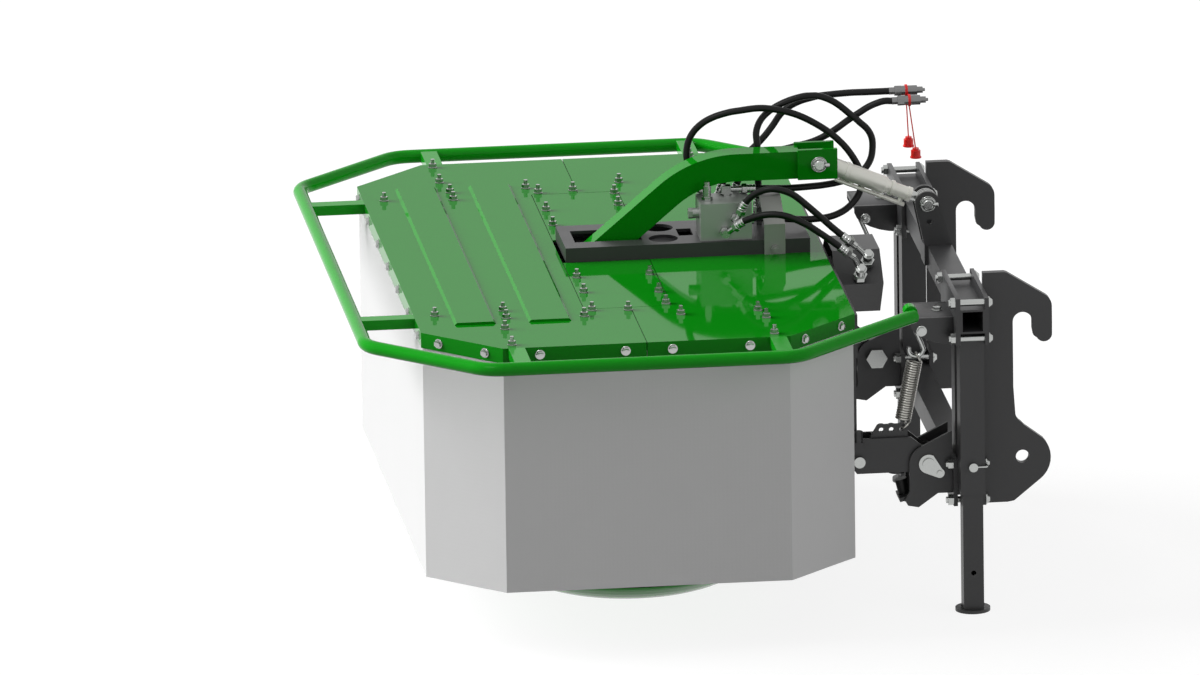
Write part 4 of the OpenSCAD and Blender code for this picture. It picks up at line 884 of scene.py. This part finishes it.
class MOWER_OT_springs(bpy.types.Operator):
    """Adds the two lift springs with their end loops."""

    bl_idname = "mower.springs"
    bl_label = "Lift springs"

    def execute(self, context):
        for side, name in ((-1, "spring_left"), (1, "spring_right")):
            path = lean_to_spring(coil_line(), side)
            radius = np.full(len(path), sizes().spring_wire / 2)
            coil = carried(name + "_wire", path, radius, WIRE_SIDES)
            dress(coil, None, spring_wire())
            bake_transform(coil)
            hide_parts(name)
        return {"FINISHED"}


def spring_length():
    """Distance from a spring's foot to its head, in mm."""
    return float(np.linalg.norm(SPRING_HEAD - SPRING_FOOT))


def loop_lean():
    """Lean of an end loop from the helix to the axis: asin(R / 2 r)."""
    return np.arcsin(SPRING_MEAN / 2 / LOOP_RADIUS)


def coil_rise():
    """Height of an end loop above the helix: 2 r cos(lean)."""
    return 2 * LOOP_RADIUS * np.cos(loop_lean())


def lean_to_spring(path, side):
    """Turns points on an upright spring to the line from its foot to its head; the
    right spring is the left one mirrored in the machine's middle plane."""
    lean = np.arctan2(*(SPRING_HEAD - SPRING_FOOT))
    x = path[:, 0] * np.cos(lean) + path[:, 2] * np.sin(lean) + SPRING_FOOT[0]
    z = path[:, 2] * np.cos(lean) - path[:, 0] * np.sin(lean) + SPRING_FOOT[1]
    y = (path[:, 1] - SPRING_Y) * -side
    return at_head(np.stack([x, y, z], axis=1))


def coil_line():
    """The coil's centre line: a helix of the mean radius between two end loops,
    each a circle that starts on the helix and leans inwards."""
    lean = loop_lean()
    rise = coil_rise()
    length = spring_length() - 2 * rise

    def loop(z, s, a):
        """An end loop from height z, upwards for s = 1 and downwards for s = -1."""
        return np.stack([SPRING_MEAN - LOOP_RADIUS * (1 - np.cos(a)) * np.sin(lean),
                         s * LOOP_RADIUS * np.sin(a),
                         z + s * LOOP_RADIUS * (1 - np.cos(a)) * np.cos(lean)], axis=1)

    t = np.linspace(0, 1, SPRING_TURNS * TURN_STEPS + 1)
    turn = 2 * np.pi * SPRING_TURNS * t
    helix = np.stack([SPRING_MEAN * np.cos(turn), SPRING_MEAN * np.sin(turn),
                      rise + length * t], axis=1)
    a = np.radians(np.linspace(*LOOP_ARC, LOOP_STEPS))
    return np.vstack([loop(rise, -1, a), helix, loop(rise + length, 1, a[::-1])])


# The top link in mm: the clevis pin and the mast pin in the XZ plane, and its turned
# profile, where each row is a distance from the clevis pin and the radius there
LINK_FOOT = np.array([-298.0, 995.0])
LINK_HEAD = np.array([-29.0, 881.0])
LINK_PROFILE = [
    (44, 12), (44, 20.5), (46, 22), (74, 22), (75, 23.5), (83, 23.5), (84, 22),
    (180, 22), (182, 21.5), (186, 18), (190, 17), (196, 17), (197, 19.5), (204, 19.5),
    (205, 16.5), (240, 16.5), (241, 18.5), (251, 18.5), (252, 12)]
# The handle beside the barrel: its start along the link, its distance below and its
# profile, and the places, start and profile of the two lugs that hold it
HANDLE_START = 60
HANDLE_DROP = 29
HANDLE_PROFILE = [(0, 4), (1, 5), (185, 5), (186, 4)]
LUG_PLACES = (102, 232)
LUG_START = 14
LUG_PROFILE = [(0, 6), (14, 6)]
# Faces round a thin rod
ROD_SIDES = 20


class MOWER_OT_top_link(bpy.types.Operator):
    """Adds the top link's stepped barrel with its turning handle."""

    bl_idname = "mower.top_link"
    bl_label = "Top link"

    def execute(self, context):
        foot, head = np.insert([LINK_FOOT, LINK_HEAD], 1, 0, axis=1)
        along = unit_rows(head - foot)
        down = np.array([along[2], 0, -along[0]])
        start = foot + HANDLE_START * along + HANDLE_DROP * down
        pieces = [turned("tube", foot, along, LINK_PROFILE, sides=48),
                  turned("handle", start, along, HANDLE_PROFILE, sides=ROD_SIDES)]
        pieces += [turned("lug", foot + place * along + LUG_START * down, down,
                          LUG_PROFILE, sides=ROD_SIDES) for place in LUG_PLACES]
        barrel = joined("top_link_tube", pieces)
        dress(barrel, "top_link", light_paint())
        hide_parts("top_link_barrel")
        return {"FINISHED"}


# Upper brackets in mm: the Y values of the two cheeks' faces, their top, and the
# outlines in the XZ plane of back plate, cheeks and lid with the Y values they run
# between
CHEEK_NEAR = (463, 473)
CHEEK_FAR = (603, 613)
BRACKET_TOP = 748
BRACKET_CHEEK = [(-42, BRACKET_TOP), (-42, 680), (-62, 681), (-86, 686), (-108, 694),
                 (-128, 705), (-142, 717), (-148, 730), (-148, BRACKET_TOP)]
BRACKET_PLATES = [
    ([(-30, 804), (-30, 686), (-42, 686), (-42, 804)], 372.5, 655),
    (BRACKET_CHEEK, *CHEEK_FAR),
    (BRACKET_CHEEK, *CHEEK_NEAR),
    ([(-42, BRACKET_TOP), (-42, 738), (-148, 738), (-148, BRACKET_TOP)],
     CHEEK_NEAR[1], CHEEK_FAR[0]),
]
# The S-hook: centres of its bends in the XZ plane, their radii, the angles in degrees
# and the number of points of each, the steps between two of these points, and the
# wire's thickness and sides
HOOK_PIN = np.array([-121.0, 716.0])
HOOK_LOOP = np.array([-124.0, 646.0])
HOOK_BENDS = ((HOOK_PIN, 12, (-40, 205, 9)), (HOOK_LOOP, 18, (15, -200, 10)))
HOOK_STEPS = 6
HOOK_WIRE = 11.0
HOOK_SIDES = 16
# The pin through the cheeks: how far it stands past the near one, and its profile
PIN_PAST = 15
PIN_PROFILE = [(0, 5), (1, 6), (170, 6)]
# The bolt on the lid: its place in X, and widths across flats of nut and heads
LID_BOLT_X = -73
HOOK_NUT, HOOK_HEAD = 18, 19


class MOWER_OT_brackets(bpy.types.Operator):
    """Adds the upper brackets and the S-hooks that the lift springs hang from."""

    bl_idname = "mower.brackets"
    bl_label = "Upper brackets"

    def execute(self, context):
        metal = []
        for side, name in ((-1, "upper_bracket_left"), (1, "upper_bracket_right")):
            plates = [plate("bracket_plate", outline, side * y0, side * y1)
                      for outline, y0, y1 in BRACKET_PLATES]
            bracket = joined(name + "_welded", plates)
            dress(bracket, "headstock", powder())
            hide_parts(name)
            metal += hook_pieces(side)
        hooks = joined("spring_hooks", metal)
        dress(hooks, "headstock", plated())
        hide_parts("s_hooks")
        return {"FINISHED"}


def hook_pieces(side):
    """An S-hook on its pin, and the bolt on the lid: the hook's line runs over the
    pin and round a wider loop below, and the pin goes through both cheeks, with a head
    on the outer one and a nut on the inner one."""
    arcs = []
    for centre, radius, spread in HOOK_BENDS:
        a = np.radians(np.linspace(*spread))
        arcs.append(centre + radius * np.stack([np.cos(a), np.sin(a)], axis=1))
    line = np.insert(np.vstack(arcs), 1, side * SPRING_Y, axis=1)
    path = at_head(smooth_path(line, HOOK_STEPS))
    radius = np.full(len(path), HOOK_WIRE / 2 * MM)
    wire = carried("hook_wire", path, radius, HOOK_SIDES)
    x, z = HOOK_PIN
    near, far = CHEEK_NEAR[0], CHEEK_FAR[1]
    shank = turned("hook_pin", (x, side * (near - PIN_PAST), z), (0, side, 0),
                   PIN_PROFILE)
    nut = bolt_head("hook_nut", (x, side * near, z), (0, -side, 0), HOOK_NUT)
    head = bolt_head("hook_head", (x, side * far, z), (0, side, 0), HOOK_HEAD)
    top = bolt_head("bracket_bolt", (LID_BOLT_X, side * (near + far) / 2, BRACKET_TOP),
                    (0, 0, 1), HOOK_HEAD)
    return [wire, shank, *nut, *head, *top]


# Bolts of the deck's flange in mm: height, gap along the front, places on the sides,
# distance from a chamfer's middle, and width across flats
FLANGE_BOLT_Z = 772.0
FRONT_BOLT_GAP = 217.0
SIDE_BOLTS = (-1090.0, -880.0, -765.0, -575.0)
CHAMFER_BOLTS = 72.0
FLANGE_BOLT = 17
# Seats of the motor's ports on its guard, and their axis, square to the guard; the
# union on each, the heights that it and its bolt stand at, and that bolt's width
MOTOR_PORTS = np.array([(-190.0, -105.2, 751.8), (-212.0, -136.4, 724.4)])
PORT_AXIS = np.array([0.0, -0.661, 0.750])
UNION_PROFILE = [(0, 16), (1, 17.5), (14, 17.5), (15, 16)]
UNION_AT, UNION_BOLT_AT, UNION_BOLT = 8, 45, 20
# The bush on each end of the guard rail: its place for the right side, and profile
RAIL_END = np.array([-157, 662, 785])
BUSH_PROFILE = [(0, 8), (0, 16), (1, 17), (29, 17), (30, 16), (30, 8)]
# Pins of the top link: node, body, place in the XZ plane, outer face of its cheeks
HITCH_PINS = (("clevis_pin", "mower", LINK_FOOT, 42.0),
              ("mast_pin", "headstock", LINK_HEAD, 36.0))
# A pin's shank: its radius, its ends past the far and the near cheek, the length and
# depth of its point; its washer, and the width across flats of its nut
SHANK_RADIUS = 12.5
SHANK_FAR, SHANK_NEAR = 12, 13
PIN_POINT = 2
PIN_WASHER = [(0, 20), (3, 20), (3.8, 19.2)]
PIN_NUT = 30
# A linch pin: its stem's start in X from the pin and its distance from the cheek, the
# stem's profile with its head, and the spring ring: radius, wire's radius, half its
# gap in degrees, lean, distance from the cheek, and its points and sides
STEM_START, STEM_OUT = -17, 9
STEM_PROFILE = [(0, 2.2), (1, 3), (32, 3), (32, 5.5), (41, 5.5), (42, 4.5)]
RING_RADIUS, RING_WIRE, RING_GAP = 17, 1.7, 14
RING_LEAN, RING_OUT = 2.5, 8
RING_POINTS, RING_SIDES = 60, 12


class MOWER_OT_fasteners(bpy.types.Operator):
    """Adds the flange's bolts, the motor's unions, the rail's bushes and the pins of
    the top link."""

    bl_idname = "mower.fasteners"
    bl_label = "Fasteners"

    def execute(self, context):
        pieces = []
        for foot, axis in flange_bolt_places():
            pieces += bolt_head("flange_bolt", foot, axis, FLANGE_BOLT)
        bolts = joined("flange_hexagons", pieces)
        dress(bolts, "mower", plated())
        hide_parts("flange_bolts")
        unions = []
        for seat in MOTOR_PORTS:
            unions += [turned("union", seat + UNION_AT * PORT_AXIS, PORT_AXIS,
                              UNION_PROFILE, sides=6),
                       *bolt_head("banjo", seat + UNION_BOLT_AT * PORT_AXIS, PORT_AXIS,
                                  UNION_BOLT)]
        dress(joined("motor_unions", unions), "mower", plated())
        bushes = [turned("bush", RAIL_END * (1, side, 1), (0, side, 0), BUSH_PROFILE)
                  for side in (-1, 1)]
        # The bushes take the rail's green, lightened as painted light
        dress(joined("rail_bushes", bushes), "mower", tube_green_painted_light())
        for node, body, place, cheek in HITCH_PINS:
            pin = joined(node + "_set", hitch_pin(*place, cheek))
            dress(pin, body, plated())
            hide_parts(node)
        return {"FINISHED"}


def hitch_pin(x, z, cheek):
    """A pin through two cheeks whose outer faces lie cheek from the middle: a washer
    on the near one, a nut on the far one, and a linch pin whose spring ring, an open
    circle, leans round the pin's end."""
    near, far = (0, -1, 0), (0, 1, 0)
    r, length = SHANK_RADIUS, 2 * cheek + SHANK_FAR + SHANK_NEAR
    shank = turned("shank", (x, cheek + SHANK_FAR, z), near,
                   [(0, r - 1), (1, r), (length - PIN_POINT, r),
                    (length, r - PIN_POINT)])
    washer = turned("washer", (x, -cheek, z), near, PIN_WASHER)
    stem = turned("stem", (x + STEM_START, -cheek - STEM_OUT, z), (1, 0, 0),
                  STEM_PROFILE, sides=ROD_SIDES)
    a = np.radians(np.linspace(RING_GAP, 360 - RING_GAP, RING_POINTS))
    circle = np.stack([x + RING_RADIUS * np.cos(a),
                       -cheek - RING_OUT - RING_LEAN * np.sin(a),
                       z + RING_RADIUS * np.sin(a)], axis=1)
    ring = carried("ring", at_head(circle), np.full(RING_POINTS, RING_WIRE * MM),
                   RING_SIDES)
    nut = bolt_head("nut", (x, cheek, z), far, PIN_NUT)
    return [shank, washer, stem, ring, *nut]


def flange_bolt_places():
    """Foot and outward axis of each flange bolt: seven along the front, then the two
    sides and the four chamfers, with a bolt on either side of a chamfer's middle."""
    places = [((DECK_X0, i * FRONT_BOLT_GAP, FLANGE_BOLT_Z), (-1, 0, 0))
              for i in range(-3, 4)]
    for side in (-1, 1):
        places += [((x, side * DECK_HALF, FLANGE_BOLT_Z), (0, side, 0))
                   for x in SIDE_BOLTS]
        for end, x in ((-1, DECK_X0 + DECK_CUT / 2), (1, DECK_X1 - DECK_CUT / 2)):
            out = np.array([end, side, 0]) / np.sqrt(2)
            along = np.array([side, -end, 0]) / np.sqrt(2)
            middle = np.array([x, side * (DECK_HALF - DECK_CUT / 2), FLANGE_BOLT_Z])
            places += [(middle + d * along, out)
                       for d in (-CHAMFER_BOLTS, CHAMFER_BOLTS)]
    return places


OPERATORS = (MOWER_OT_stage, MOWER_OT_finishes, MOWER_OT_hoses, MOWER_OT_supply_hoses,
             MOWER_OT_curtain, MOWER_OT_springs, MOWER_OT_top_link, MOWER_OT_brackets,
             MOWER_OT_fasteners)


class MOWER_PT_panel(bpy.types.Panel):
    """The mower's pieces, sizes and colours in the sidebar."""

    bl_label = "Front Drum Mower"
    bl_idname = "MOWER_PT_panel"
    bl_space_type = "VIEW_3D"
    bl_region_type = "UI"
    bl_category = "Mower"

    def draw(self, context):
        for group in (context.scene.mower_sizes, context.scene.mower_colours):
            for key in group.__annotations__:
                self.layout.prop(group, key)
        for operator in OPERATORS:
            self.layout.operator(operator.bl_idname)


CLASSES = (MowerSizes, MowerColours, *OPERATORS, MOWER_PT_panel)


def register():
    """Adds the classes, and the sizes and colours to the scene."""
    for cls in CLASSES:
        bpy.utils.register_class(cls)
    bpy.types.Scene.mower_sizes = PointerProperty(type=MowerSizes)
    bpy.types.Scene.mower_colours = PointerProperty(type=MowerColours)


def unregister():
    """Takes away what register adds."""
    del bpy.types.Scene.mower_colours
    del bpy.types.Scene.mower_sizes
    for cls in reversed(CLASSES):
        bpy.utils.unregister_class(cls)


def main():
    """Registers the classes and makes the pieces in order."""
    register()
    bpy.ops.mower.stage()
    bpy.ops.mower.supply_hoses()
    bpy.ops.mower.finishes()
    bpy.ops.mower.hoses()
    bpy.ops.mower.curtain()
    bpy.ops.mower.springs()
    bpy.ops.mower.top_link()
    bpy.ops.mower.brackets()
    bpy.ops.mower.fasteners()


if __name__ == "__main__":
    main()
